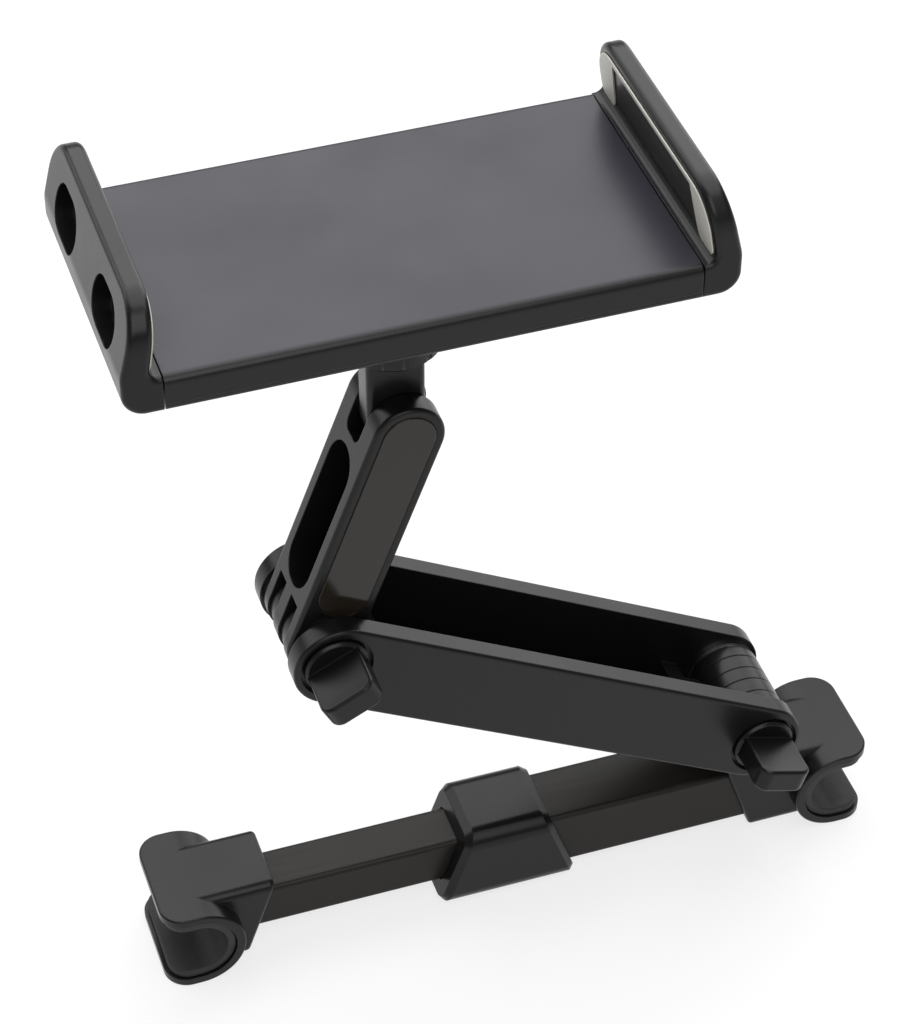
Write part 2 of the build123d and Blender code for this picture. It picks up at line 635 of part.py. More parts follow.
# Lower arm: two side plates joined by a floor, with two lugs at each hinge
with BuildPart() as lower_arm:
    with BuildSketch(LOWER.offset(GAP / 2), LOWER.offset(-ARM_W / 2)):
        with Locations(((ARM1_LEN + ELBOW_INSET - BASE_INSET) / 2, 0)):
            SlotCenterToCenter(ARM1_LEN - ELBOW_INSET - BASE_INSET, 2 * PLATE_R)
    extrude(amount=PLATE_T)
    fillet(lower_arm.faces().sort_by(Axis.Y)[0].edges(), ARM_EDGE)
    fillet(lower_arm.faces().sort_by(Axis.Y)[-1].edges(), ARM_EDGE)
    with BuildSketch(LOWER):
        with Locations((ARM1_LEN / 2, FLOOR_T / 2 - PLATE_R)):
            Rectangle(ARM1_LEN - 2 * WEB_AT, FLOOR_T)
        with Locations((WEB_AT + WEB_T / 2, (WEB_TOP - PLATE_R) / 2)):
            Rectangle(WEB_T, WEB_TOP + PLATE_R)
        with Locations((ARM1_LEN - WEB_AT - WEB_T / 2, (WEB_TOP - PLATE_R) / 2)):
            Rectangle(WEB_T, WEB_TOP + PLATE_R)
    extrude(amount=GAP / 2, both=True)
    with BuildSketch(LOWER.offset(LUG_IN), LOWER.offset(-LUG_OUT)):
        with Locations((0, 0), (ARM1_LEN, 0)):
            Circle(LUG_R)
        with Locations(((WEB_AT + LUG_ROOT) / 2, (WEB_TOP - LUG_R) / 2)):
            Rectangle(WEB_AT + LUG_ROOT, WEB_TOP + LUG_R)
        with Locations((ARM1_LEN - (WEB_AT + LUG_ROOT) / 2, (WEB_TOP - LUG_R) / 2)):
            Rectangle(WEB_AT + LUG_ROOT, WEB_TOP + LUG_R)
    extrude(amount=LUG_T)
    with BuildSketch(LOWER):
        with Locations((0, 0), (ARM1_LEN, 0)):
            Circle(BOLT_R + FIT)
    extrude(amount=ARM_W, both=True, mode=Mode.SUBTRACT)
    with BuildSketch(LOWER.offset(ARM_W / 2 - KNOB_SEAT)):
        with Locations((0, 0), (ARM1_LEN, 0)):
            Circle(KNOB_SEAT_R)
    extrude(amount=KNOB_SEAT + CUT, mode=Mode.SUBTRACT)
    with BuildSketch(LOWER.offset(HEAD_SEAT - ARM_W / 2)):
        with Locations((0, 0), (ARM1_LEN, 0)):
            Circle(HEAD_SEAT_R)
    extrude(amount=-HEAD_SEAT - CUT, mode=Mode.SUBTRACT)
lower_arm.part.label = "lower_arm"
export_step(lower_arm.part, "parts/lower_arm.step")

# Washers of the base hinge
with BuildPart() as base_washers:
    with BuildSketch(BASE.offset(FINGER_OUT + WASHER_FREE), BASE.offset(-GAP / 2 + FIT)):
        Circle(WASHER_R)
        Circle(BOLT_R + FIT, mode=Mode.SUBTRACT)
    extrude(amount=WASHER_T)
base_washers.part.label = "base_washers"
export_step(base_washers.part, "parts/base_washers.step")

# Washers of the elbow hinge
with BuildPart() as elbow_washers:
    with BuildSketch(ELBOW.offset(FINGER_OUT + WASHER_FREE), ELBOW.offset(-GAP / 2 + FIT)):
        Circle(WASHER_R)
        Circle(BOLT_R + FIT, mode=Mode.SUBTRACT)
    extrude(amount=WASHER_T)
elbow_washers.part.label = "elbow_washers"
export_step(elbow_washers.part, "parts/elbow_washers.step")

# Bolt of the base hinge, held in the lower arm
with BuildPart() as base_bolt:
    with BuildSketch(BASE.offset(HEAD_SEAT - ARM_W / 2 - FIT)):
        Circle(HEAD_SEAT_R - SEAM)
    extrude(amount=-HEAD_SEAT - HEAD_PROUD)
    fillet(base_bolt.edges().group_by(Axis.Y)[-1], HEAD_RND)
    with BuildSketch(BASE.offset(HEAD_SEAT - ARM_W / 2 - FIT)):
        Circle(BOLT_R)
    extrude(amount=ARM_W - HEAD_SEAT - KNOB_SEAT)
    with BuildSketch(BASE.offset(ARM_W / 2 - KNOB_SEAT - FIT)):
        Circle(STUD_R)
    extrude(amount=KNOB_SEAT + BOLT_PAST)
base_bolt.part.label = "base_bolt"
export_step(base_bolt.part, "parts/base_bolt.step")

# Bolt of the elbow hinge, held in the lower arm
with BuildPart() as elbow_bolt:
    with BuildSketch(ELBOW.offset(HEAD_SEAT - ARM_W / 2 - FIT)):
        Circle(HEAD_SEAT_R - SEAM)
    extrude(amount=-HEAD_SEAT - HEAD_PROUD)
    fillet(elbow_bolt.edges().group_by(Axis.Y)[-1], HEAD_RND)
    with BuildSketch(ELBOW.offset(HEAD_SEAT - ARM_W / 2 - FIT)):
        Circle(BOLT_R)
    extrude(amount=ARM_W - HEAD_SEAT - KNOB_SEAT)
    with BuildSketch(ELBOW.offset(ARM_W / 2 - KNOB_SEAT - FIT)):
        Circle(STUD_R)
    extrude(amount=KNOB_SEAT + BOLT_PAST)
elbow_bolt.part.label = "elbow_bolt"
export_step(elbow_bolt.part, "parts/elbow_bolt.step")

# Wing knob of the base hinge: a round foot with a scooped paddle on it
with BuildPart() as base_knob:
    with BuildSketch(BASE_WING):
        with BuildLine():
            Line((-KNOB_TIP / 2, KNOB_Y1), (KNOB_TIP / 2, KNOB_Y1))
            ThreePointArc(
                (KNOB_TIP / 2, KNOB_Y1),
                (KNOB_WAIST / 2, KNOB_MID),
                (KNOB_ROOT / 2, KNOB_Y0),
            )
            Line((KNOB_ROOT / 2, KNOB_Y0), (-KNOB_ROOT / 2, KNOB_Y0))
            ThreePointArc(
                (-KNOB_ROOT / 2, KNOB_Y0),
                (-KNOB_WAIST / 2, KNOB_MID),
                (-KNOB_TIP / 2, KNOB_Y1),
            )
        make_face()
    extrude(amount=KNOB_W / 2, both=True)
    paddle_tip = base_knob.faces().sort_by(Axis.Y)[0]
    fillet(paddle_tip.edges().filter_by(Axis((0, 0, 0), BASE_WING.x_dir)), KNOB_CORNER)
    broad_sides = base_knob.faces().sort_by(Axis((0, 0, 0), BASE_WING.x_dir))
    paddle_edges = broad_sides[0].edges() + broad_sides[-1].edges()
    fillet(paddle_edges.sort_by(Axis.Y)[:-2], KNOB_EDGE)
    with BuildSketch(BASE.offset(KNOB_Y0)):
        Circle(KNOB_R)
    extrude(amount=KNOB_FOOT)
    with BuildSketch(BASE.offset(KNOB_Y0 + KNOB_FOOT)):
        Circle(KNOB_R)
    extrude(amount=KNOB_FOOT_BEVEL, taper=KNOB_FOOT_DEG)
    with BuildSketch(BASE.offset(KNOB_Y0)):
        Circle(STUD_R + FIT)
    extrude(amount=KNOB_SEAT - SIDE + BOLT_PAST + STUD_GAP, mode=Mode.SUBTRACT)
base_knob.part.label = "base_knob"
export_step(base_knob.part, "parts/base_knob.step")

# Wing knob of the elbow hinge, a copy of the base knob at its own angle
with BuildPart() as elbow_knob:
    knob_turn = Rot(0, BASE_KNOB_DEG - ELBOW_KNOB_DEG, 0)
    add(Pos(ELBOW_X, 0, ELBOW_Z) * knob_turn * Pos(-BASE_X, 0, -BASE_Z) * base_knob.part)
elbow_knob.part.label = "elbow_knob"
export_step(elbow_knob.part, "parts/elbow_knob.step")

# Upper arm: three fingers at the elbow, a pocket in the outer face and a fork at the top
with BuildPart() as upper_arm:
    with BuildSketch(UPPER_BODY):
        with Locations((BODY_LEN / 2, 0)):
            SlotCenterToCenter(BODY_LEN, ARM2_D)
    with BuildSketch(UPPER):
        Circle(KNUCKLE_R)
    extrude(amount=ARM2_W / 2, both=True)
    fillet(upper_arm.faces().sort_by(Axis.Y)[0].edges(), ARM2_EDGE)
    fillet(upper_arm.faces().sort_by(Axis.Y)[-1].edges(), ARM2_EDGE)
    with BuildSketch(UPPER_FACE.offset(POCKET_FLOOR - ARM2_D / 2)):
        with Locations(((POCKET_FROM + POCKET_TO) / 2, 0)):
            SlotOverall(POCKET_TO - POCKET_FROM, POCKET_W)
    extrude(amount=ARM2_D, mode=Mode.SUBTRACT)
    with BuildSketch(UPPER_FACE):
        with Locations((FORK_FROM + ARM2_LEN / 2, 0)):
            RectangleRounded(ARM2_LEN, FORK_W, FORK_RND)
    extrude(amount=ARM2_D, both=True, mode=Mode.SUBTRACT)
    with BuildSketch(UPPER.offset(MID_FINGER / 2), UPPER.offset(-FINGER_IN)):
        Circle(LUG_R + FREE)
        with Locations(((LUG_R - ARM2_D) / 2, 0)):
            Rectangle(LUG_R + ARM2_D, 2 * ARM2_D)
    extrude(amount=FINGER_IN - MID_FINGER / 2, mode=Mode.SUBTRACT)
    with BuildSketch(UPPER_BODY.offset(ARM2_W / 2 - TRIM_SEAT)):
        with Locations(((TRIM_FROM + BODY_LEN) / 2, 0)):
            SlotCenterToCenter(BODY_LEN - TRIM_FROM, TRIM_W)
    extrude(amount=TRIM_SEAT + CUT, mode=Mode.SUBTRACT)
    with BuildSketch(UPPER_BODY.offset(TRIM_SEAT - ARM2_W / 2)):
        with Locations(((TRIM_FROM + BODY_LEN) / 2, 0)):
            SlotCenterToCenter(BODY_LEN - TRIM_FROM, TRIM_W)
    extrude(amount=-TRIM_SEAT - CUT, mode=Mode.SUBTRACT)
    with BuildSketch(UPPER):
        Circle(BOLT_R + RUN)
        with Locations((ARM2_LEN, 0)):
            Circle(PIN_R + FIT)
    extrude(amount=ARM2_W, both=True, mode=Mode.SUBTRACT)
upper_arm.part.label = "upper_arm"
export_step(upper_arm.part, "parts/upper_arm.step")

# Trim panels of the upper arm
with BuildPart() as front_trim:
    with BuildSketch(UPPER_BODY.offset(ARM2_W / 2 - TRIM_SEAT + FIT)):
        with Locations(((TRIM_FROM + BODY_LEN) / 2, 0)):
            SlotCenterToCenter(BODY_LEN - TRIM_FROM, TRIM_W - 2 * TRIM_GAP)
    extrude(amount=TRIM_T)
front_trim.part.label = "front_trim"
export_step(front_trim.part, "parts/front_trim.step")

with BuildPart() as back_trim:
    with BuildSketch(UPPER_BODY.offset(TRIM_SEAT - FIT - ARM2_W / 2)):
        with Locations(((TRIM_FROM + BODY_LEN) / 2, 0)):
            SlotCenterToCenter(BODY_LEN - TRIM_FROM, TRIM_W - 2 * TRIM_GAP)
    extrude(amount=-TRIM_T)
back_trim.part.label = "back_trim"
export_step(back_trim.part, "parts/back_trim.step")

# Pin of the tilt hinge, held in the fork
with BuildPart() as tilt_pin:
    with BuildSketch(TILT):
        Circle(PIN_R)
    extrude(amount=ARM2_W / 2 - TRIM_SEAT - SEAM, both=True)
tilt_pin.part.label = "tilt_pin"
export_step(tilt_pin.part, "parts/tilt_pin.step")

# Flat neck with the ball on top
with BuildPart() as ball_neck:
    with BuildSketch(TILT):
        Circle(NECK_R)
        with Locations((0, (NECK_Z - TILT_Z) / 2)):
            Rectangle(2 * NECK_R, NECK_Z - TILT_Z)
    extrude(amount=NECK_T / 2, both=True)
    fillet(ball_neck.faces().sort_by(Axis.Y)[0].edges(), NECK_RND)
    fillet(ball_neck.faces().sort_by(Axis.Y)[-1].edges(), NECK_RND)
    with Locations((TILT_X, 0, TILT_Z + NECK_R)):
        Cylinder(STEM_R, BALL_Z - TILT_Z - NECK_R, align=UP)
    with Locations((TILT_X, 0, BALL_Z)):
        Sphere(BALL_R)
    with BuildSketch(TILT):
        Circle(PIN_R + RUN)
    extrude(amount=ARM2_W, both=True, mode=Mode.SUBTRACT)
ball_neck.part.label = "ball_neck"
export_step(ball_neck.part, "parts/ball_neck.step")

# Seat that grips the ball
with BuildPart() as ball_seat:
    with Locations((TILT_X, 0, BALL_Z - SEAT_UNDER)):
        Cylinder(SEAT_R, SEAT_UNDER + SEAT_OVER, align=UP)
    with Locations((TILT_X, 0, BALL_Z)):
        Sphere(BALL_R + RUN, mode=Mode.SUBTRACT)
ball_seat.part.label = "ball_seat"
export_step(ball_seat.part, "parts/ball_seat.step")

# Ring nut that tightens the ball joint
with BuildPart() as ring_nut:
    with BuildSketch(HEAD.offset(BALL_Z - NUT_LOW)):
        Circle(NUT_R)
    extrude(amount=NUT_LOW + NUT_HIGH)
    chamfer(ring_nut.edges().group_by(Axis.Z)[0], NUT_BEVEL)
    with BuildSketch(HEAD.offset(BALL_Z - NUT_LOW)):
        Circle(NUT_MOUTH)
        with PolarLocations(NUT_R + NUT_GRIP_OUT, NUT_GRIPS):
            Circle(NUT_GRIP_R)
    extrude(amount=NUT_LOW + NUT_HIGH, mode=Mode.SUBTRACT)
    with BuildSketch(HEAD.offset(BALL_Z - SEAT_UNDER - SLIP)):
        Circle(CUP_R + RUN)
    extrude(amount=NUT_LOW + NUT_HIGH, mode=Mode.SUBTRACT)
ring_nut.part.label = "ring_nut"
export_step(ring_nut.part, "parts/ring_nut.step")

# Back cover of the cradle with the socket of the ball joint
with BuildPart() as cradle_cover:
    with BuildSketch(HEAD.offset(CR_LOW)):
        Rectangle(CR_L, CR_D)
    extrude(amount=COVER_T)
    fillet(cradle_cover.faces().sort_by(Axis.Z)[0].edges().filter_by(Axis.X), COVER_RND)
    with BuildSketch(HEAD.offset(BALL_Z - SEAT_UNDER + SLIP)):
        Circle(CUP_R)
    extrude(amount=CR_LOW - BALL_Z + SEAT_UNDER)
    with Locations((TILT_X, 0, CR_LOW - CUP_FLARE)):
        Cone(CUP_R, CUP_R + CUP_FLARE, CUP_FLARE, align=UP)
    with BuildSketch(HEAD.offset(BALL_Z - SEAT_UNDER)):
        Circle(SEAT_R + FIT)
    extrude(amount=SEAT_UNDER + SEAT_OVER + SLIP, mode=Mode.SUBTRACT)
    with BuildSketch(HEAD.offset(BALL_Z)):
        Circle(CUP_WELL_R)
    extrude(amount=BALL_R + CUP_WELL, mode=Mode.SUBTRACT)
    with BuildSketch(HEAD.offset(CR_LOW)):
        with GridLocations(2 * BOSS_X, 2 * BOSS_Y, 2, 2):
            Circle(COVER_SCREW_R + SLIP)
    extrude(amount=COVER_T, mode=Mode.SUBTRACT)
    with BuildSketch(HEAD.offset(CR_LOW)):
        with GridLocations(2 * BOSS_X, 2 * BOSS_Y, 2, 2):
            Circle(COVER_HEAD_R + SEAM)
    extrude(amount=COVER_HEAD, mode=Mode.SUBTRACT)
cradle_cover.part.label = "cradle_cover"
export_step(cradle_cover.part, "parts/cradle_cover.step")

# Screws of the back cover
with BuildPart() as cover_screws:
    with BuildSketch(HEAD.offset(CR_LOW)):
        with GridLocations(2 * BOSS_X, 2 * BOSS_Y, 2, 2):
            Circle(COVER_HEAD_R)
    extrude(amount=COVER_HEAD - FIT)
    with BuildSketch(HEAD.offset(CR_LOW)):
        with GridLocations(2 * BOSS_X, 2 * BOSS_Y, 2, 2):
            Circle(COVER_SCREW_R)
    extrude(amount=COVER_T + COVER_BITE)
cover_screws.part.label = "cover_screws"
export_step(cover_screws.part, "parts/cover_screws.step")

# Cradle body that carries the tablet
with BuildPart() as cradle_body:
    with BuildSketch(HEAD.offset(BODY_LOW)):
        Rectangle(CR_L, CR_D)
    extrude(amount=CR_TOP - BODY_LOW)
    fillet(cradle_body.faces().sort_by(Axis.Z)[-1].edges().filter_by(Axis.X), CR_EDGE)
    with BuildSketch(HEAD.offset(BODY_LOW)):
        with Locations((0, RAIL_Y), (0, -RAIL_Y)):
            Rectangle(CR_L, RAIL_W + 2 * SIDE)
        Rectangle(CR_L - 2 * BODY_END, 2 * (RAIL_Y - RAIL_W / 2 - SIDE - RIB_T))
    extrude(amount=RAIL_TOP + SIDE - BODY_LOW, mode=Mode.SUBTRACT)
    with BuildSketch(HEAD.offset(BODY_LOW)):
        with GridLocations(2 * BOSS_X, 2 * BOSS_Y, 2, 2):
            Circle(BOSS_R)
    extrude(amount=CR_TOP - BODY_LOW - TOP_T / 2)
    with BuildSketch(HEAD.offset(BODY_LOW)):
        with GridLocations(2 * BOSS_X, 2 * BOSS_Y, 2, 2):
            Circle(COVER_SCREW_R + FIT)
    extrude(amount=COVER_BITE + COVER_TIP, mode=Mode.SUBTRACT)
cradle_body.part.label = "cradle_body"
export_step(cradle_body.part, "parts/cradle_body.step")

# Right jaw of the cradle with its two rails
with BuildPart() as right_cradle_jaw:
    with BuildSketch(HEAD_FRONT) as right_profile:
        Polygon(
            (FOOT_U, CR_LOW),
            (FOOT_U, CR_TOP),
            (WALL_U, CR_TOP),
            (WALL_U - WALL_LEAN, WALL_TOP),
            (WALL_U - WALL_LEAN + WALL_RIM, WALL_TOP),
            (JAW_OUT, CR_TOP + WALL_BEND),
            (JAW_OUT, CR_LOW),
            align=None,
        )
        fillet(right_profile.vertices().sort_by_distance((WALL_U, CR_TOP))[0], WALL_COVE)
        fillet(right_profile.vertices().sort_by_distance((JAW_OUT, CR_TOP + WALL_BEND))[0], WALL_BEND_RND)
        fillet(right_profile.vertices().sort_by_distance((JAW_OUT, CR_LOW))[0], WALL_HEEL)
    extrude(amount=CR_D / 2, both=True)
    with BuildSketch(across(TILT_X + FOOT_U - CUT, (CR_LOW + WALL_TOP) / 2)) as right_end:
        Rectangle(CR_D, WALL_TOP - CR_LOW)
        fillet(right_end.vertices().group_by(Axis.Y)[-1], WALL_CORNER)
    extrude(amount=JAW_OUT - FOOT_U + 2 * CUT, mode=Mode.INTERSECT)
    fillet(right_cradle_jaw.edges().filter_by(soft_end), WALL_EDGE)
    with BuildSketch(JAW_FACE.offset(HOLE_WEB)):
        with Locations((HOLE_Y, HOLE_UP), (-HOLE_Y, HOLE_UP)):
            SlotOverall(HOLE_L, HOLE_H)
    extrude(amount=CR_WALL + CUT, mode=Mode.SUBTRACT)
    with BuildSketch(HEAD.offset(RAIL_LOW)):
        with GridLocations(0, 2 * RAIL_Y, 1, 2):
            with Locations(((RAIL_END + FOOT_U + RAIL_ROOT) / 2, 0)):
                Rectangle(FOOT_U + RAIL_ROOT - RAIL_END, RAIL_W)
    extrude(amount=RAIL_H)
    with BuildSketch(HEAD.offset(RAIL_LOW)):
        with GridLocations(0, 2 * RAIL_Y, 1, 2):
            with Locations(((RAIL_END + HOOK_U + GROOVE_PAST) / 2, 0)):
                Rectangle(HOOK_U + GROOVE_PAST - RAIL_END, RAIL_GROOVE_W)
    extrude(amount=GROOVE_H, mode=Mode.SUBTRACT)
    with BuildSketch(HEAD.offset(RAIL_LOW)):
        with Locations((HOOK_U, RAIL_Y), (HOOK_U, -RAIL_Y)):
            Circle(HOOK_R)
    extrude(amount=GROOVE_H + RAIL_ROOF / 2)
right_cradle_jaw.part.label = "right_cradle_jaw"
export_step(right_cradle_jaw.part, "parts/right_cradle_jaw.step")

# Left jaw of the cradle, the mirror image of the right one
with BuildPart() as left_cradle_jaw:
    add(mirror(right_cradle_jaw.part, about=HEAD_MIRROR, mode=Mode.PRIVATE))
left_cradle_jaw.part.label = "left_cradle_jaw"
export_step(left_cradle_jaw.part, "parts/left_cradle_jaw.step")

# Silicone pads, one on each jaw
with BuildPart() as right_pad:
    with BuildSketch(JAW_FACE.offset(-PAD_T)) as right_arch:
        Polygon(
            (-PAD_HALF, PAD_LOW),
            (-PAD_HALF, PAD_HIGH),
            (PAD_HALF, PAD_HIGH),
            (PAD_HALF, PAD_LOW),
            (PAD_IN, PAD_LOW),
            (PAD_IN - PAD_SLANT, PAD_HIGH - PAD_STRIP),
            (PAD_SLANT - PAD_IN, PAD_HIGH - PAD_STRIP),
            (-PAD_IN, PAD_LOW),
            align=None,
        )
        fillet(right_arch.vertices().group_by(Axis.Y)[-1], PAD_CORNER)
        fillet(right_arch.vertices().group_by(Axis.Y)[0], PAD_RND)
    extrude(amount=PAD_T - FIT)
right_pad.part.label = "right_pad"
export_step(right_pad.part, "parts/right_pad.step")

with BuildPart() as left_pad:
    add(mirror(right_pad.part, about=HEAD_MIRROR, mode=Mode.PRIVATE))
left_pad.part.label = "left_pad"
export_step(left_pad.part, "parts/left_pad.step")

# Tension springs that pull the jaws together, one in each rail channel
with BuildPart() as front_jaw_spring:
    with BuildSketch(across(TILT_X - HOOK_U + SPRING_EYE, SPRING_Z)):
        with Locations((-RAIL_Y, 0)):
            Circle(SPRING_R)
    extrude(amount=2 * (HOOK_U - SPRING_EYE))
    with Locations((TILT_X - HOOK_U, -RAIL_Y, SPRING_Z), (TILT_X + HOOK_U, -RAIL_Y, SPRING_Z)):
        Torus(SPRING_EYE, SPRING_WIRE)
front_jaw_spring.part.label = "front_jaw_spring"
export_step(front_jaw_spring.part, "parts/front_jaw_spring.step")

with BuildPart() as back_jaw_spring:
    with BuildSketch(across(TILT_X - HOOK_U + SPRING_EYE, SPRING_Z)):
        with Locations((RAIL_Y, 0)):
            Circle(SPRING_R)
    extrude(amount=2 * (HOOK_U - SPRING_EYE))
    with Locations((TILT_X - HOOK_U, RAIL_Y, SPRING_Z), (TILT_X + HOOK_U, RAIL_Y, SPRING_Z)):
        Torus(SPRING_EYE, SPRING_WIRE)
back_jaw_spring.part.label = "back_jaw_spring"
export_step(back_jaw_spring.part, "parts/back_jaw_spring.step")
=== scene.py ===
import math
from collections import namedtuple

import bmesh
import bpy
from bpy.props import FloatProperty, FloatVectorProperty, PointerProperty
from mathutils import Euler, Matrix, Vector


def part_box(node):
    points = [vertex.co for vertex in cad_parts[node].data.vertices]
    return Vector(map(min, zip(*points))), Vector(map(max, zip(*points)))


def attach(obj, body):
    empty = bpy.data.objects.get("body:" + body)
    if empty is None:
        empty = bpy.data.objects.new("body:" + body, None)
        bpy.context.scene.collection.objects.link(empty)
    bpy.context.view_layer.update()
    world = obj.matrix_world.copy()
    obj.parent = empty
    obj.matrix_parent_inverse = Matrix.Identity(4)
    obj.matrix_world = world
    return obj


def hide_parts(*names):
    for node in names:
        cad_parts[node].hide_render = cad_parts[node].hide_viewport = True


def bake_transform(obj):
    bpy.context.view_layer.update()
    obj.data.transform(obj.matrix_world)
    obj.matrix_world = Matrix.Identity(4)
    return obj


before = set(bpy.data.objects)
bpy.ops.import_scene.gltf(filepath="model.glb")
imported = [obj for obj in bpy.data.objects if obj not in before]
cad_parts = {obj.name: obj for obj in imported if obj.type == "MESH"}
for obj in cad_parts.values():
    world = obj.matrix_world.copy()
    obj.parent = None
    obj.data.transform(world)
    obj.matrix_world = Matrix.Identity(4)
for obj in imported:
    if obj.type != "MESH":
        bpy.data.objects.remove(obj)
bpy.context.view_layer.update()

bl_info = {
    "name": "Headrest tablet mount",
    "version": (1, 0, 0),
    "blender": (4, 5, 0),
    "location": "View3D > Sidebar > Mount",
    "description": "Finishes a headrest tablet mount and sets up its studio",
    "category": "Object",
}

MM = 0.001
QUARTER_TURN = math.pi / 2
HALF_TURN = math.pi
FULL_TURN = 2 * math.pi
SAME = 0.01 * MM  # lengths that differ by less are the same
SMOOTH_ANGLE = math.radians(35)  # the shading breaks at sharper edges
ROUNDED_ANGLE = math.radians(40)  # sharper edges are rounded

# Sizes of the patterns in the finishes
SMEAR = 28 * MM
SPARK_GRAIN = 0.7 * MM  # coarser than the real grain, which is too fine to show
PLATE_CLOUD = 22 * MM
PLATE_GRAIN = 0.5 * MM  # coarser than the real grain, which is too fine to show
TRIM_HAZE = 12 * MM
DRAW_LINE = 0.8 * MM  # wider than the real lines, which are too fine to show
DRAW_STRETCH = 0.02  # of the scale across, so that the lines run along the bar
NYLON_MOTTLE = 2 * MM
RUBBER_DUST = 1 * MM  # coarser than real dust, which is too fine to show
SILICONE_CLOUD = 6 * MM
PLATING_HAZE = 1.5 * MM

# Shares and samples in the finishes
NOISE_RANGE = {"From Min": 0.3, "From Max": 0.7}  # where most of a noise lies
EDGE_SAMPLES = 4
# painted highlight: how much lighter the ABS is painted along its edges
EDGE_HIGHLIGHT_SHARE = 2.2  # times the colour of the ABS
DULL_CLOUD = 0.86  # times the colour of the textured face
SILICONE_DARK = 0.85  # times the colour of the silicone

# Turns and faces of the springs
BAR_TURNS = 8
BAR_SIDES = 10
JAW_PITCH = 2.4  # in radii of the wire
JAW_SIDES = 6
TURN_STEPS = 16
LOOP_SIDES = 8
LOOP_STEPS = 24
LOOP_TURN = math.radians(330)

# Shares of the heads and shanks of the bolts and screws
RECESS_DEPTH = 0.6  # of the height of a head
HEAD_ROUND = 0.5  # of the height of a screw's head
TIP_CHAMFER = 0.4  # of the radius of a screw's shank
CROSS_WIDTH = 0.24  # of the radius of a screw's head
CROSS_ARM = 0.36  # of the radius of a screw's head

# Floor and lamps, with lengths in metres
FLOOR_SIZE = 120.0
FLOOR_DROP = 0.1 * MM
PAPER = "#f2f2f2"
WHITE = (1.0, 1.0, 1.0, 1.0)
WHITE_SHARE = 0.75  # of the white background in what the camera sees of the paper
PANELS = (
    # name, property with its power, place from the target, width
    ("top_panel", "top_light", (0.1, 0.2, 0.52), 0.8),
    ("front_panel", "front_light", (-0.1, -0.75, 0.75), 0.8),
    ("left_panel", "left_light", (-0.6, 0.55, 0.5), 0.6),
    ("back_panel", "back_light", (0.75, 0.75, 0.3), 0.6),
)

Space = namedtuple("Space", "low middle high")


def linear(hex_colour):
    """Linear RGBA of an sRGB hex colour."""
    channels = [int(hex_colour[i : i + 2], 16) / 255 for i in (1, 3, 5)]
    return [c / 12.92 if c <= 0.04045 else ((c + 0.055) / 1.055) ** 2.4 for c in channels] + [1.0]


def tint(base, share):
    """The colour made lighter or darker by that share."""
    return [share * c for c in base[:3]] + [1.0]


def colour(name, description, hex_colour):
    """A colour property with that default."""
    return FloatVectorProperty(
        name=name,
        description=description,
        subtype="COLOR",
        size=4,
        min=0.0,
        max=1.0,
        default=linear(hex_colour),
    )


def length(name, description, millimetres):
    """A length property with that default."""
    metres = millimetres * MM
    return FloatProperty(name=name, description=description, unit="LENGTH", default=metres)


def angle(name, description, degrees):
    """An angle property with that default."""
    radians = math.radians(degrees)
    return FloatProperty(name=name, description=description, subtype="ANGLE", default=radians)


def power(name, description, watts):
    """A property with that default for the power of a lamp."""
    return FloatProperty(name=name, description=description, unit="POWER", default=watts)


class MountColours(bpy.types.PropertyGroup):
    """Colours of the finishes."""

    abs: colour("Moulded ABS", "Arms, clamps, knobs, jaws and edges of the cradle", "#111112")
    # The upper face of the cradle is painted lighter than the ABS, as a painted sheen.
    texture: colour("Textured ABS", "Upper face of the cradle", "#292830")
    trim: colour("Trim", "Panels in the sides of the upper arm", "#211c17")
    tube: colour("Tube paint", "Square tubes of the bar", "#1f1c1a")
    nylon: colour("Nylon", "Bush, plug and ball seat", "#3a3a3c")
    rubber: colour("Liner rubber", "Liners of the clamps", "#2c2a2a")
    silicone: colour("Silicone", "Pads of the cradle jaws", "#c4c2ba")
    steel: colour("Zinc-plated steel", "Bolts, screws, washers, pin and springs", "#9a9996")


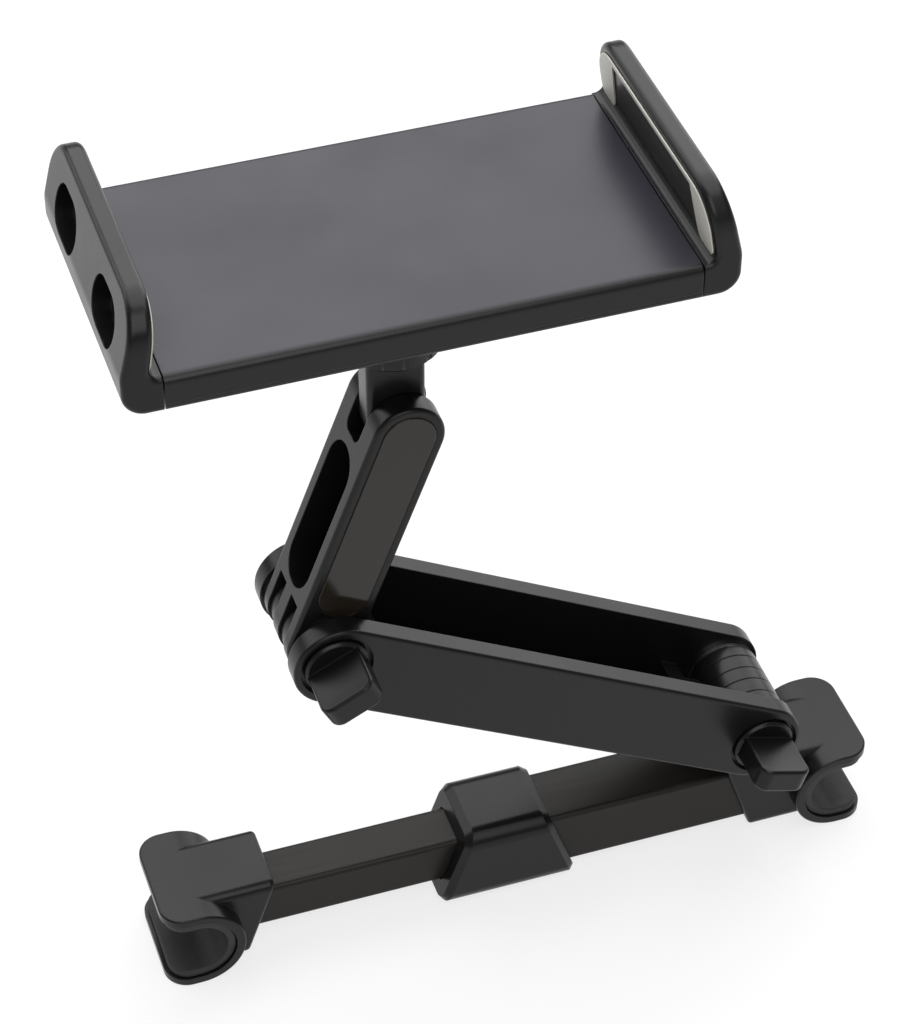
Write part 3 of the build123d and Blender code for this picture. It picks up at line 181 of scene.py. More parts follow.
class MountSizes(bpy.types.PropertyGroup):
    """Sizes of the pieces that are modelled here."""

    pad_lean: angle("Pad lean", "Lean of the jaw walls inwards", 9.08)
    pad_thick: length("Pad thickness", "Thickness of the silicone", 0.4)
    pad_drop: length("Pad drop", "How far the strip lies below the top of its space", 0.7)
    pad_strip: length("Pad strip", "Height of the strip along the top", 1.4)
    pad_foot: length("Pad foot", "Width of each foot at its end", 7.8)
    pad_slant: length("Pad slant", "How far the foot widens towards the strip", 2.0)
    pad_corner: length("Pad corner", "Radius of the upper corners", 8.6)
    pad_past: length("Pad past", "How far each end goes past its space", 1.8)
    pad_low: length("Pad low", "How far the feet go below their space", 2.0)
    pad_round: length("Pad round", "Radius of the ends of the feet", 2.4)
    pad_edge: length("Pad edge", "Radius of the edges of the pads", 0.18)
    liner_thick: length("Liner thickness", "Thickness of the rubber", 2.15)
    liner_corner: length("Liner corner", "Radius of the corners of the lips", 5.0)
    liner_edge: length("Liner edge", "Radius of the edges of the liners", 0.45)
    bar_wire: length("Bar spring wire", "Radius of its wire", 0.7)
    jaw_wire: length("Jaw spring wire", "Radius of its wire", 0.3)
    jaw_eye: length("Jaw spring eye", "Radius of its end loops", 1.45)
    bolt_head: length("Bolt head", "Height of the heads of the hinge bolts", 2.8)
    bolt_round: length("Bolt round", "Radius of the edges of those heads", 1.2)
    bolt_shank: length("Bolt shank", "Radius of the hinge bolts", 3.0)
    bolt_stud: length("Bolt stud", "Radius of the threaded end", 2.0)
    bolt_socket: length("Bolt socket", "Corner radius of the hexagon socket", 2.9)
    stud_long: length("Stud length", "Length of the threaded end", 7.6)
    stud_chamfer: length("Stud chamfer", "Chamfer at the tip of the threaded end", 0.5)
    tube_head: length("Tube screw head", "Height of the heads of the tube screws", 1.7)
    tube_shank: length("Tube screw shank", "Radius of the tube screws", 1.4)
    cover_wide: length("Cover screw width", "Radius of the heads of the cover screws", 2.3)
    cover_head: length("Cover screw head", "Height of the heads of the cover screws", 0.85)
    cover_shank: length("Cover screw shank", "Radius of the cover screws", 1.2)


class MountStage(bpy.types.PropertyGroup):
    """Camera and lamps."""

    azimuth: angle("Azimuth", "Turn of the camera about the mount", -18.47)
    elevation: angle("Elevation", "Height of the camera above the horizon", 41.71)
    distance: length("Distance", "From the camera to its target", 717.68)
    target: FloatVectorProperty(
        name="Target",
        description="Point that the camera looks at",
        subtype="XYZ",
        unit="LENGTH",
        default=(-14.14 * MM, 0.0, 122.16 * MM),
    )
    lens: FloatProperty(
        name="Lens",
        description="Focal length in millimetres",
        unit="CAMERA",
        default=111.0,
    )
    top_light: power("Top light", "Power of the overhead panel", 6.0)
    front_light: power("Front light", "Power of the front panel", 5.0)
    left_light: power("Left light", "Power of the left panel", 2.5)
    back_light: power("Back light", "Power of the panel behind", 2.2)
    world_light: FloatProperty(
        name="World light",
        description="Strength of the surround",
        default=0.25,
    )


def add(tree, kind, values=None, links=None, **settings):
    """Adds a node with its settings, input values and links, and gives its outputs."""
    node = tree.nodes.new(kind)
    for key, value in settings.items():
        setattr(node, key, value)
    for key, value in (values or {}).items():
        node.inputs[key].default_value = value
    for key, socket in (links or {}).items():
        tree.links.new(socket, node.inputs[key])
    return node.outputs


def blank(name):
    """A material with an empty node tree."""
    material = bpy.data.materials.new(name)
    material.use_nodes = True
    material.node_tree.nodes.clear()
    return material, material.node_tree


# Moulded ABS: satin black with the fine spark grain of the tool and a few dull smears from
# handling. Its edges are slightly rounded, and their colour is painted lighter as a painted
# highlight.
def moulded_abs():
    material, tree = blank("moulded_abs")
    base = bpy.context.scene.mount_colours.abs
    where = add(tree, "ShaderNodeTexCoord")
    rounded = add(tree, "ShaderNodeBevel", {"Radius": 0.4 * MM}, samples=EDGE_SAMPLES)
    flat = add(tree, "ShaderNodeNewGeometry")
    match = add(
        tree,
        "ShaderNodeVectorMath",
        links={0: rounded["Normal"], 1: flat["Normal"]},
        operation="DOT_PRODUCT",
    )
    # Painted highlight: the colour turns lighter where the rounded edges bend the normal.
    edge_highlight = add(
        tree,
        "ShaderNodeMapRange",
        {"From Min": 0.9, "From Max": 0.995, "To Min": 1.0, "To Max": 0.0},
        {"Value": match["Value"]},
    )
    tone = add(
        tree,
        "ShaderNodeMix",
        {"A": base, "B": tint(base, EDGE_HIGHLIGHT_SHARE)},
        {"Factor": edge_highlight["Result"]},
        data_type="RGBA",
    )
    smear = add(
        tree,
        "ShaderNodeTexNoise",
        {"Scale": 1 / SMEAR, "Detail": 3.0},
        {"Vector": where["Object"]},
    )
    gloss = add(
        tree,
        "ShaderNodeMapRange",
        {**NOISE_RANGE, "To Min": 0.24, "To Max": 0.32},
        {"Value": smear["Fac"]},
    )
    spark = add(
        tree,
        "ShaderNodeTexNoise",
        {"Scale": 1 / SPARK_GRAIN, "Detail": 3.0},
        {"Vector": where["Object"]},
    )
    grain = add(
        tree,
        "ShaderNodeBump",
        {"Strength": 0.1, "Distance": 0.02 * MM},
        {"Height": spark["Fac"], "Normal": rounded["Normal"]},
    )
    shader = add(
        tree,
        "ShaderNodeBsdfPrincipled",
        {"IOR": 1.53, "Specular IOR Level": 0.23},
        {"Base Color": tone["Result"], "Roughness": gloss["Result"], "Normal": grain["Normal"]},
    )
    add(tree, "ShaderNodeOutputMaterial", links={"Surface": shader["BSDF"]})
    return material


# Textured ABS: the moulding of the cradle. Its upper face has a fine satin texture with a few dull
# clouds, and its colour is a lighter grey than its smooth black sides: a painted sheen.
def textured_abs():
    material, tree = blank("textured_abs")
    colours = bpy.context.scene.mount_colours
    where = add(tree, "ShaderNodeTexCoord")
    rounded = add(tree, "ShaderNodeBevel", {"Radius": 0.4 * MM}, samples=EDGE_SAMPLES)
    up = add(tree, "ShaderNodeSeparateXYZ", links={"Vector": where["Normal"]})
    face = add(
        tree,
        "ShaderNodeMapRange",
        {"From Min": 0.9, "From Max": 0.99, "To Min": 0.0, "To Max": 1.0},
        {"Value": up["Z"]},
    )
    cloud = add(
        tree,
        "ShaderNodeTexNoise",
        {"Scale": 1 / PLATE_CLOUD, "Detail": 4.0},
        {"Vector": where["Object"]},
    )
    dull = add(
        tree,
        "ShaderNodeMapRange",
        {**NOISE_RANGE, "To Min": 0.0, "To Max": 1.0},
        {"Value": cloud["Fac"]},
    )
    dusty = add(
        tree,
        "ShaderNodeMix",
        {"A": colours.texture, "B": tint(colours.texture, DULL_CLOUD)},
        {"Factor": dull["Result"]},
        data_type="RGBA",
    )
    # Painted sheen: the upper face takes the lighter colour, and the sides keep the black of the
    # ABS.
    tone = add(
        tree,
        "ShaderNodeMix",
        {"A": colours.abs},
        {"Factor": face["Result"], "B": dusty["Result"]},
        data_type="RGBA",
    )
    satin = add(
        tree,
        "ShaderNodeMapRange",
        {**NOISE_RANGE, "To Min": 0.28, "To Max": 0.36},
        {"Value": cloud["Fac"]},
    )
    gloss = add(
        tree,
        "ShaderNodeMix",
        {"A": 0.28},
        {"Factor": face["Result"], "B": satin["Result"]},
        data_type="FLOAT",
    )
    pits = add(
        tree,
        "ShaderNodeTexNoise",
        {"Scale": 1 / PLATE_GRAIN, "Detail": 3.0},
        {"Vector": where["Object"]},
    )
    grain = add(
        tree,
        "ShaderNodeBump",
        {"Strength": 0.3, "Distance": 0.03 * MM},
        {"Height": pits["Fac"], "Normal": rounded["Normal"]},
    )
    shader = add(
        tree,
        "ShaderNodeBsdfPrincipled",
        {"IOR": 1.53, "Specular IOR Level": 0.26},
        {"Base Color": tone["Result"], "Roughness": gloss["Result"], "Normal": grain["Normal"]},
    )
    add(tree, "ShaderNodeOutputMaterial", links={"Surface": shader["BSDF"]})
    return material


# Polished ABS: smoother and browner than the body, so it mirrors the panels with soft edges.
def polished_trim():
    material, tree = blank("polished_abs")
    where = add(tree, "ShaderNodeTexCoord")
    rounded = add(tree, "ShaderNodeBevel", {"Radius": 0.5 * MM}, samples=EDGE_SAMPLES)
    haze = add(
        tree,
        "ShaderNodeTexNoise",
        {"Scale": 1 / TRIM_HAZE, "Detail": 3.0},
        {"Vector": where["Object"]},
    )
    gloss = add(
        tree,
        "ShaderNodeMapRange",
        {**NOISE_RANGE, "To Min": 0.08, "To Max": 0.14},
        {"Value": haze["Fac"]},
    )
    base = bpy.context.scene.mount_colours.trim
    shader = add(
        tree,
        "ShaderNodeBsdfPrincipled",
        {"Base Color": base, "IOR": 1.53, "Specular IOR Level": 0.35},
        {"Roughness": gloss["Result"], "Normal": rounded["Normal"]},
    )
    add(tree, "ShaderNodeOutputMaterial", links={"Surface": shader["BSDF"]})
    return material


# Painted steel tube: a warm black coat, with faint draw lines along the bar showing through.
def painted_tube():
    material, tree = blank("painted_steel")
    where = add(tree, "ShaderNodeTexCoord")
    along = add(
        tree,
        "ShaderNodeMapping",
        {"Scale": (DRAW_STRETCH, 1.0, 1.0)},
        {"Vector": where["Object"]},
    )
    lines = add(
        tree,
        "ShaderNodeTexNoise",
        {"Scale": 1 / DRAW_LINE, "Detail": 3.0},
        {"Vector": along["Vector"]},
    )
    gloss = add(
        tree,
        "ShaderNodeMapRange",
        {**NOISE_RANGE, "To Min": 0.34, "To Max": 0.42},
        {"Value": lines["Fac"]},
    )
    drawn = add(
        tree,
        "ShaderNodeBump",
        {"Strength": 0.15, "Distance": 0.02 * MM},
        {"Height": lines["Fac"]},
    )
    base = bpy.context.scene.mount_colours.tube
    shader = add(
        tree,
        "ShaderNodeBsdfPrincipled",
        {"Base Color": base, "IOR": 1.5, "Specular IOR Level": 0.2},
        {"Roughness": gloss["Result"], "Normal": drawn["Normal"]},
    )
    add(tree, "ShaderNodeOutputMaterial", links={"Surface": shader["BSDF"]})
    return material


# Moulded nylon: a dull dark grey with a slightly waxy mottle.
def moulded_nylon():
    material, tree = blank("moulded_nylon")
    where = add(tree, "ShaderNodeTexCoord")
    mottle = add(
        tree,
        "ShaderNodeTexNoise",
        {"Scale": 1 / NYLON_MOTTLE, "Detail": 2.0},
        {"Vector": where["Object"]},
    )
    gloss = add(
        tree,
        "ShaderNodeMapRange",
        {**NOISE_RANGE, "To Min": 0.45, "To Max": 0.58},
        {"Value": mottle["Fac"]},
    )
    base = bpy.context.scene.mount_colours.nylon
    shader = add(
        tree,
        "ShaderNodeBsdfPrincipled",
        {"Base Color": base, "IOR": 1.53},
        {"Roughness": gloss["Result"]},
    )
    add(tree, "ShaderNodeOutputMaterial", links={"Surface": shader["BSDF"]})
    return material


# Moulded rubber: matt and dark, with a fine dusty grain.
def liner_rubber():
    material, tree = blank("moulded_rubber")
    where = add(tree, "ShaderNodeTexCoord")
    dust = add(
        tree,
        "ShaderNodeTexNoise",
        {"Scale": 1 / RUBBER_DUST, "Detail": 4.0},
        {"Vector": where["Object"]},
    )
    gloss = add(
        tree,
        "ShaderNodeMapRange",
        {**NOISE_RANGE, "To Min": 0.5, "To Max": 0.62},
        {"Value": dust["Fac"]},
    )
    grain = add(
        tree,
        "ShaderNodeBump",
        {"Strength": 0.2, "Distance": 0.03 * MM},
        {"Height": dust["Fac"]},
    )
    base = bpy.context.scene.mount_colours.rubber
    shader = add(
        tree,
        "ShaderNodeBsdfPrincipled",
        {"Base Color": base, "IOR": 1.52, "Specular IOR Level": 0.3},
        {"Roughness": gloss["Result"], "Normal": grain["Normal"]},
    )
    add(tree, "ShaderNodeOutputMaterial", links={"Surface": shader["BSDF"]})
    return material


# Silicone rubber: pale, soft-looking and faintly cloudy, with a dull sheen.
def pad_silicone():
    material, tree = blank("silicone_rubber")
    where = add(tree, "ShaderNodeTexCoord")
    cloud = add(
        tree,
        "ShaderNodeTexNoise",
        {"Scale": 1 / SILICONE_CLOUD, "Detail": 2.0},
        {"Vector": where["Object"]},
    )
    base = bpy.context.scene.mount_colours.silicone
    tone = add(
        tree,
        "ShaderNodeMix",
        {"A": tint(base, SILICONE_DARK), "B": base},
        {"Factor": cloud["Fac"]},
        data_type="RGBA",
    )
    shader = add(
        tree,
        "ShaderNodeBsdfPrincipled",
        {"Roughness": 0.5, "IOR": 1.41},
        {"Base Color": tone["Result"]},
    )
    add(tree, "ShaderNodeOutputMaterial", links={"Surface": shader["BSDF"]})
    return material


# Zinc-plated steel: bright grey metal with a fine uneven haze from the plating bath.
def plated_steel():
    material, tree = blank("zinc_plated_steel")
    where = add(tree, "ShaderNodeTexCoord")
    haze = add(
        tree,
        "ShaderNodeTexNoise",
        {"Scale": 1 / PLATING_HAZE, "Detail": 3.0},
        {"Vector": where["Object"]},
    )
    gloss = add(
        tree,
        "ShaderNodeMapRange",
        {**NOISE_RANGE, "To Min": 0.28, "To Max": 0.42},
        {"Value": haze["Fac"]},
    )
    base = bpy.context.scene.mount_colours.steel
    shader = add(
        tree,
        "ShaderNodeBsdfPrincipled",
        {"Base Color": base, "Metallic": 1.0},
        {"Roughness": gloss["Result"]},
    )
    add(tree, "ShaderNodeOutputMaterial", links={"Surface": shader["BSDF"]})
    return material


# White paper: a pale matt floor that keeps a soft shadow. Rays from the camera, a mirror or glass
# see most of it as the white background.
def white_paper():
    material, tree = blank("white_paper")
    path = add(tree, "ShaderNodeLightPath")
    direct = add(
        tree,
        "ShaderNodeMath",
        links={0: path["Is Camera Ray"], 1: path["Is Glossy Ray"]},
        operation="MAXIMUM",
    )
    seen = add(
        tree,
        "ShaderNodeMath",
        links={0: direct["Value"], 1: path["Is Transmission Ray"]},
        operation="MAXIMUM",
    )
    share = add(
        tree,
        "ShaderNodeMath",
        {1: WHITE_SHARE},
        {0: seen["Value"]},
        operation="MULTIPLY",
    )
    paper = add(tree, "ShaderNodeBsdfDiffuse", {"Color": linear(PAPER)})
    white = add(tree, "ShaderNodeEmission", {"Color": WHITE, "Strength": 1.0})
    mixed = add(
        tree,
        "ShaderNodeMixShader",
        links={"Fac": share["Value"], 1: paper["BSDF"], 2: white["Emission"]},
    )
    add(tree, "ShaderNodeOutputMaterial", links={"Surface": mixed["Shader"]})
    return material


def dress(material, *names):
    """Gives CAD nodes that material."""
    for name in names:
        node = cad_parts[name]
        node.data.materials.clear()
        node.data.materials.append(material)


def space_of(node):
    """Lowest corner, middle and highest corner of a CAD node."""
    low, high = (Vector(corner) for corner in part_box(node))
    return Space(low, (low + high) / 2, high)


def near(value, target):
    """True if two lengths are the same but for rounding."""
    return abs(value - target) < SAME


def select(piece):
    """Makes the piece the active one and the only one that is selected."""
    bpy.ops.object.select_all(action="DESELECT")
    bpy.context.view_layer.objects.active = piece
    piece.select_set(True)


def begin(primitive, name, **settings):
    """Adds a primitive with nothing else selected and opens it in edit mode."""
    bpy.ops.object.select_all(action="DESELECT")
    primitive(**settings)
    piece = bpy.context.object
    piece.name = name
    bpy.ops.object.mode_set(mode="EDIT")
    return piece


def choose(piece, kind, test):
    """Selects the vertices, edges or faces whose middle passes the test.

    Raises an error if none does.
    """
    bpy.ops.mesh.select_mode(type=kind)
    bpy.ops.mesh.select_all(action="DESELECT")
    mesh = bmesh.from_edit_mesh(piece.data)
    found = 0
    for part in {"VERT": mesh.verts, "EDGE": mesh.edges, "FACE": mesh.faces}[kind]:
        corners = [part] if kind == "VERT" else part.verts
        middle = sum((corner.co for corner in corners), Vector()) / len(corners)
        if test(middle):
            part.select_set(True)
            found += 1
    mesh.select_flush_mode()
    bmesh.update_edit_mesh(piece.data)
    if not found:
        raise RuntimeError("nothing to select on " + piece.name)


def draw_out(x=0.0, y=0.0, z=0.0):
    """Extrudes what is selected by that much."""
    bpy.ops.mesh.extrude_region_move(TRANSFORM_OT_translate={"value": (x, y, z)})


def edit_all():
    """Opens the active piece in edit mode with all of it selected."""
    bpy.ops.object.mode_set(mode="EDIT")
    bpy.ops.mesh.select_all(action="SELECT")


def face_out():
    """Points all the faces of the open piece outwards and leaves edit mode."""
    bpy.ops.mesh.select_all(action="SELECT")
    bpy.ops.mesh.normals_make_consistent(inside=False)
    bpy.ops.object.mode_set(mode="OBJECT")


def settle(piece):
    """Moves the piece's place into its mesh."""
    select(piece)
    bpy.ops.object.transform_apply(location=True, rotation=True, scale=True)


def modify(piece, kind, **settings):
    """Adds a modifier to the active piece and applies it."""
    modifier = piece.modifiers.new(kind.lower(), kind)
    for key, value in settings.items():
        setattr(modifier, key, value)
    bpy.ops.object.modifier_apply(modifier=modifier.name)


def round_edges(piece, width):
    """Rounds the sharp edges of the active piece."""
    modify(
        piece,
        "BEVEL",
        width=width,
        segments=3,
        limit_method="ANGLE",
        angle_limit=ROUNDED_ANGLE,
    )


def drop(piece):
    """Removes a tool or a pattern that isn't needed any more."""
    select(piece)
    bpy.ops.object.delete()


def cut(piece, tool):
    """Takes the tool's shape out of the piece and removes the tool."""
    select(piece)
    modify(piece, "BOOLEAN", operation="DIFFERENCE", solver="EXACT", object=tool)
    drop(tool)


def copy(piece, name, placed):
    """A copy of the piece with its own mesh, put in place with its place in its mesh."""
    select(piece)
    bpy.ops.object.duplicate(linked=False)
    twin = bpy.context.object
    twin.name = name
    twin.matrix_world = placed
    settle(twin)
    return twin


def finish_piece(piece, material, nodes):
    """Smooths the piece, gives it its material and lets it stand for its CAD nodes."""
    select(piece)
    bpy.ops.object.shade_smooth_by_angle(angle=SMOOTH_ANGLE)
    piece.data.materials.clear()
    piece.data.materials.append(material)
    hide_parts(*nodes)


class MOUNT_OT_mouldings(bpy.types.Operator):
    """Finish the arms, clamps, knobs, cradle, trim and bushes"""

    bl_idname = "mount.mouldings"
    bl_label = "Mouldings"

    def execute(self, context):
        dress(
            moulded_abs(),
            "bar_collar",
            "right_clamp_jaw",
            "left_clamp_jaw",
            "lower_arm",
            "base_knob",
            "elbow_knob",
            "upper_arm",
            "ball_neck",
            "ring_nut",
            "cradle_cover",
            "right_cradle_jaw",
            "left_cradle_jaw",
        )
        dress(textured_abs(), "cradle_body")
        dress(polished_trim(), "front_trim", "back_trim")
        dress(moulded_nylon(), "guide_bush", "slide_plug", "ball_seat")
        return {"FINISHED"}


class MOUNT_OT_tubes(bpy.types.Operator):
    """Finish the two square tubes of the bar"""

    bl_idname = "mount.tubes"
    bl_label = "Tubes"

    def execute(self, context):
        dress(painted_tube(), "outer_tube", "inner_tube")
        return {"FINISHED"}


class MOUNT_OT_liners(bpy.types.Operator):
    """Make the rubber liners of the clamps"""

    bl_idname = "mount.liners"
    bl_label = "Liners"

    def execute(self, context):
        sizes = context.scene.mount_sizes
        space = space_of("right_jaw_liner")
        radius = (space.high.z - space.low.z) / 2
        lip = space.high.x - space.low.x - radius
        wide = space.high.y - space.low.y
        # A half ring with two straight lips, drawn out across the clamp
        pattern = begin(
            bpy.ops.mesh.primitive_circle_add,
            "liner_pattern",
            vertices=64,
            radius=radius - sizes.liner_thick / 2,
            rotation=(QUARTER_TURN, 0.0, 0.0),
        )
        choose(pattern, "VERT", lambda p: p.x > SAME)
        bpy.ops.mesh.delete(type="VERT")
        choose(pattern, "VERT", lambda p: near(p.x, 0.0))
        draw_out(x=lip)
        bpy.ops.object.mode_set(mode="OBJECT")
        settle(pattern)
        edit_all()
        bpy.ops.transform.translate(value=(0.0, -wide / 2, 0.0))
        draw_out(y=wide)
        choose(pattern, "VERT", lambda p: near(p.x, lip))
        bpy.ops.mesh.bevel(offset=sizes.liner_corner, segments=8, affect="VERTICES")
        face_out()
        modify(
            pattern,
            "SOLIDIFY",
            thickness=sizes.liner_thick,
            offset=0.0,
            use_even_offset=True,
        )
        round_edges(pattern, sizes.liner_edge)
        material = liner_rubber()
        for side, turn in (("right", 0.0), ("left", HALF_TURN)):
            space = space_of(side + "_jaw_liner")
            across = space.low.x + radius if side == "right" else space.high.x - radius
            centre = Matrix.Translation((across, 0.0, space.middle.z))
            placed = centre @ Matrix.Rotation(turn, 4, "Z")
            liner = copy(pattern, side + "_liner_rubber", placed)
            finish_piece(liner, material, [side + "_jaw_liner"])
            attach(liner, side + "_bar")
        drop(pattern)
        return {"FINISHED"}


class MOUNT_OT_pads(bpy.types.Operator):
    """Make the silicone pads of the cradle jaws"""

    bl_idname = "mount.pads"
    bl_label = "Pads"

    def execute(self, context):
        sizes = context.scene.mount_sizes
        lean = sizes.pad_lean
        space = space_of("right_pad")
        # The leaning box gives the height and thickness of the space for the pad.
        size = space.high - space.low
        deep = size.x * math.cos(lean) - size.z * math.sin(lean)
        deep /= math.cos(2 * lean)
        tall = (size.z - deep * math.sin(lean)) / math.cos(lean)
        tall += sizes.pad_low - sizes.pad_drop
        pattern = self.outline(sizes, size.y + 2 * sizes.pad_past, tall)
        modify(pattern, "SOLIDIFY", thickness=sizes.pad_thick, offset=0.0)
        round_edges(pattern, sizes.pad_edge)
        material = pad_silicone()
        upright = Euler((QUARTER_TURN, 0.0, QUARTER_TURN)).to_matrix().to_4x4()
        down = -(sizes.pad_drop + sizes.pad_low) / 2
        back = (deep - sizes.pad_thick) / 2
        for side, turn, out in (("right", -lean, back), ("left", lean, -back)):
            stand = Matrix.Translation(space_of(side + "_pad").middle)
            stand = stand @ Matrix.Rotation(turn, 4, "Y")
            shift = Matrix.Translation((out, 0.0, down))
            pad = copy(pattern, side + "_silicone_pad", stand @ shift @ upright)
            finish_piece(pad, material, [side + "_pad"])
            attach(pad, side + "_jaw")
        drop(pattern)
        return {"FINISHED"}

    def outline(self, sizes, wide, tall):
        """The flat outline of a pad: a strip along the top with a slanted foot at each end."""
        top = tall / 2
        strip = top - sizes.pad_strip
        foot = wide / 2 - sizes.pad_foot
        inner = foot - sizes.pad_slant
        pattern = begin(bpy.ops.mesh.primitive_plane_add, "pad_pattern", size=wide)
        bpy.ops.transform.resize(value=(1.0, sizes.pad_strip / wide, 1.0))
        bpy.ops.transform.translate(value=(0.0, top - sizes.pad_strip / 2, 0.0))
        for side in (-inner, inner):
            bpy.ops.mesh.select_all(action="SELECT")
            bpy.ops.mesh.bisect(plane_co=(side, 0.0, 0.0), plane_no=(1.0, 0.0, 0.0))
        choose(pattern, "EDGE", lambda p: near(p.y, strip) and abs(p.x) > inner)
        draw_out(y=-strip - top)
        choose(pattern, "VERT", lambda p: near(p.y, -top) and near(abs(p.x), inner))
        bpy.ops.transform.resize(value=(foot / inner, 1.0, 1.0))
        choose(pattern, "EDGE", lambda p: near(p.y, strip) and abs(p.x) > inner)
        bpy.ops.mesh.dissolve_edges(use_verts=True)
        choose(pattern, "VERT", lambda p: near(p.y, top) and near(abs(p.x), wide / 2))
        bpy.ops.mesh.bevel(offset=sizes.pad_corner, segments=10, affect="VERTICES")
        choose(pattern, "VERT", lambda p: near(p.y, -top))
        bpy.ops.mesh.bevel(offset=sizes.pad_round, segments=6, affect="VERTICES")
        face_out()
        return pattern


class MOUNT_OT_springs(bpy.types.Operator):
    """Make the spring of the bar and the springs between the jaws"""

    bl_idname = "mount.springs"
    bl_label = "Springs"

    def execute(self, context):
        sizes = context.scene.mount_sizes
        material = plated_steel()
        self.bar_spring(sizes, material)
        for node in ("front_jaw_spring", "back_jaw_spring"):
            self.jaw_spring(node, sizes, material)
        return {"FINISHED"}

    def bar_spring(self, sizes, material):
        """Makes the spring that pushes the two clamps apart."""
        low, middle, high = space_of("bar_spring")
        wire = sizes.bar_wire
        radius = (high.z - low.z) / 2 - wire
        start = Vector((low.x + wire, middle.y, middle.z))
        end = Vector((high.x - wire, middle.y, middle.z))
        pattern = self.coil("bar_coil", wire, radius, end.x - start.x, BAR_TURNS, BAR_SIDES)
        spring = copy(pattern, "bar_coil_spring", Matrix.Translation(start))
        drop(pattern)
        finish_piece(spring, material, ["bar_spring"])
        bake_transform(spring)

    def jaw_spring(self, node, sizes, material):
        """Makes both halves of a spring that pulls the jaws together."""
        low, middle, high = space_of(node)
        wire = sizes.jaw_wire
        radius = (high.z - low.z) / 2 - wire
        reach = high.x - wire - sizes.jaw_eye - middle.x
        straight = reach - sizes.jaw_eye - wire
        turns = round(straight / (JAW_PITCH * wire))
        half = self.coil("jaw_coil", wire, radius, straight, turns, JAW_SIDES)
        self.hook(half, wire, reach, sizes.jaw_eye)
        for side, turn in (("right", 0.0), ("left", HALF_TURN)):
            placed = Matrix.Translation(middle) @ Matrix.Rotation(turn, 4, "Z")
            spring = copy(half, node + "_" + side, placed)
            finish_piece(spring, material, [node])
            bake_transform(spring)
        drop(half)

    def coil(self, name, wire, radius, long, turns, sides):
        """A helix along X from the origin, from a ring of wire at its top."""
        piece = begin(
            bpy.ops.mesh.primitive_circle_add,
            name,
            vertices=sides,
            radius=wire,
            rotation=(QUARTER_TURN, 0.0, 0.0),
        )
        bpy.ops.object.mode_set(mode="OBJECT")
        settle(piece)
        edit_all()
        bpy.ops.transform.translate(value=(0.0, 0.0, radius))
        bpy.ops.object.mode_set(mode="OBJECT")
        modify(
            piece,
            "SCREW",
            axis="X",
            angle=FULL_TURN,
            screw_offset=long / turns,
            iterations=turns,
            steps=TURN_STEPS,
            render_steps=TURN_STEPS,
        )
        edit_all()
        bpy.ops.mesh.fill_holes(sides=sides)
        face_out()
        return piece

    def hook(self, half, wire, reach, eye):
        """Adds the loop at the end of a jaw spring."""
        loop = begin(
            bpy.ops.mesh.primitive_circle_add,
            "jaw_loop",
            vertices=LOOP_SIDES,
            radius=wire,
            rotation=(QUARTER_TURN, 0.0, 0.0),
            location=(reach - eye, 0.0, 0.0),
        )
        bpy.ops.mesh.select_all(action="SELECT")
        bpy.ops.mesh.spin(
            steps=LOOP_STEPS,
            angle=LOOP_TURN,
            center=(reach, 0.0, 0.0),
            axis=(0.0, 0.0, 1.0),
        )
        bpy.ops.mesh.select_all(action="SELECT")
        bpy.ops.mesh.fill_holes(sides=LOOP_SIDES)
        face_out()
        settle(loop)
        select(half)
        loop.select_set(True)
        bpy.ops.object.join()


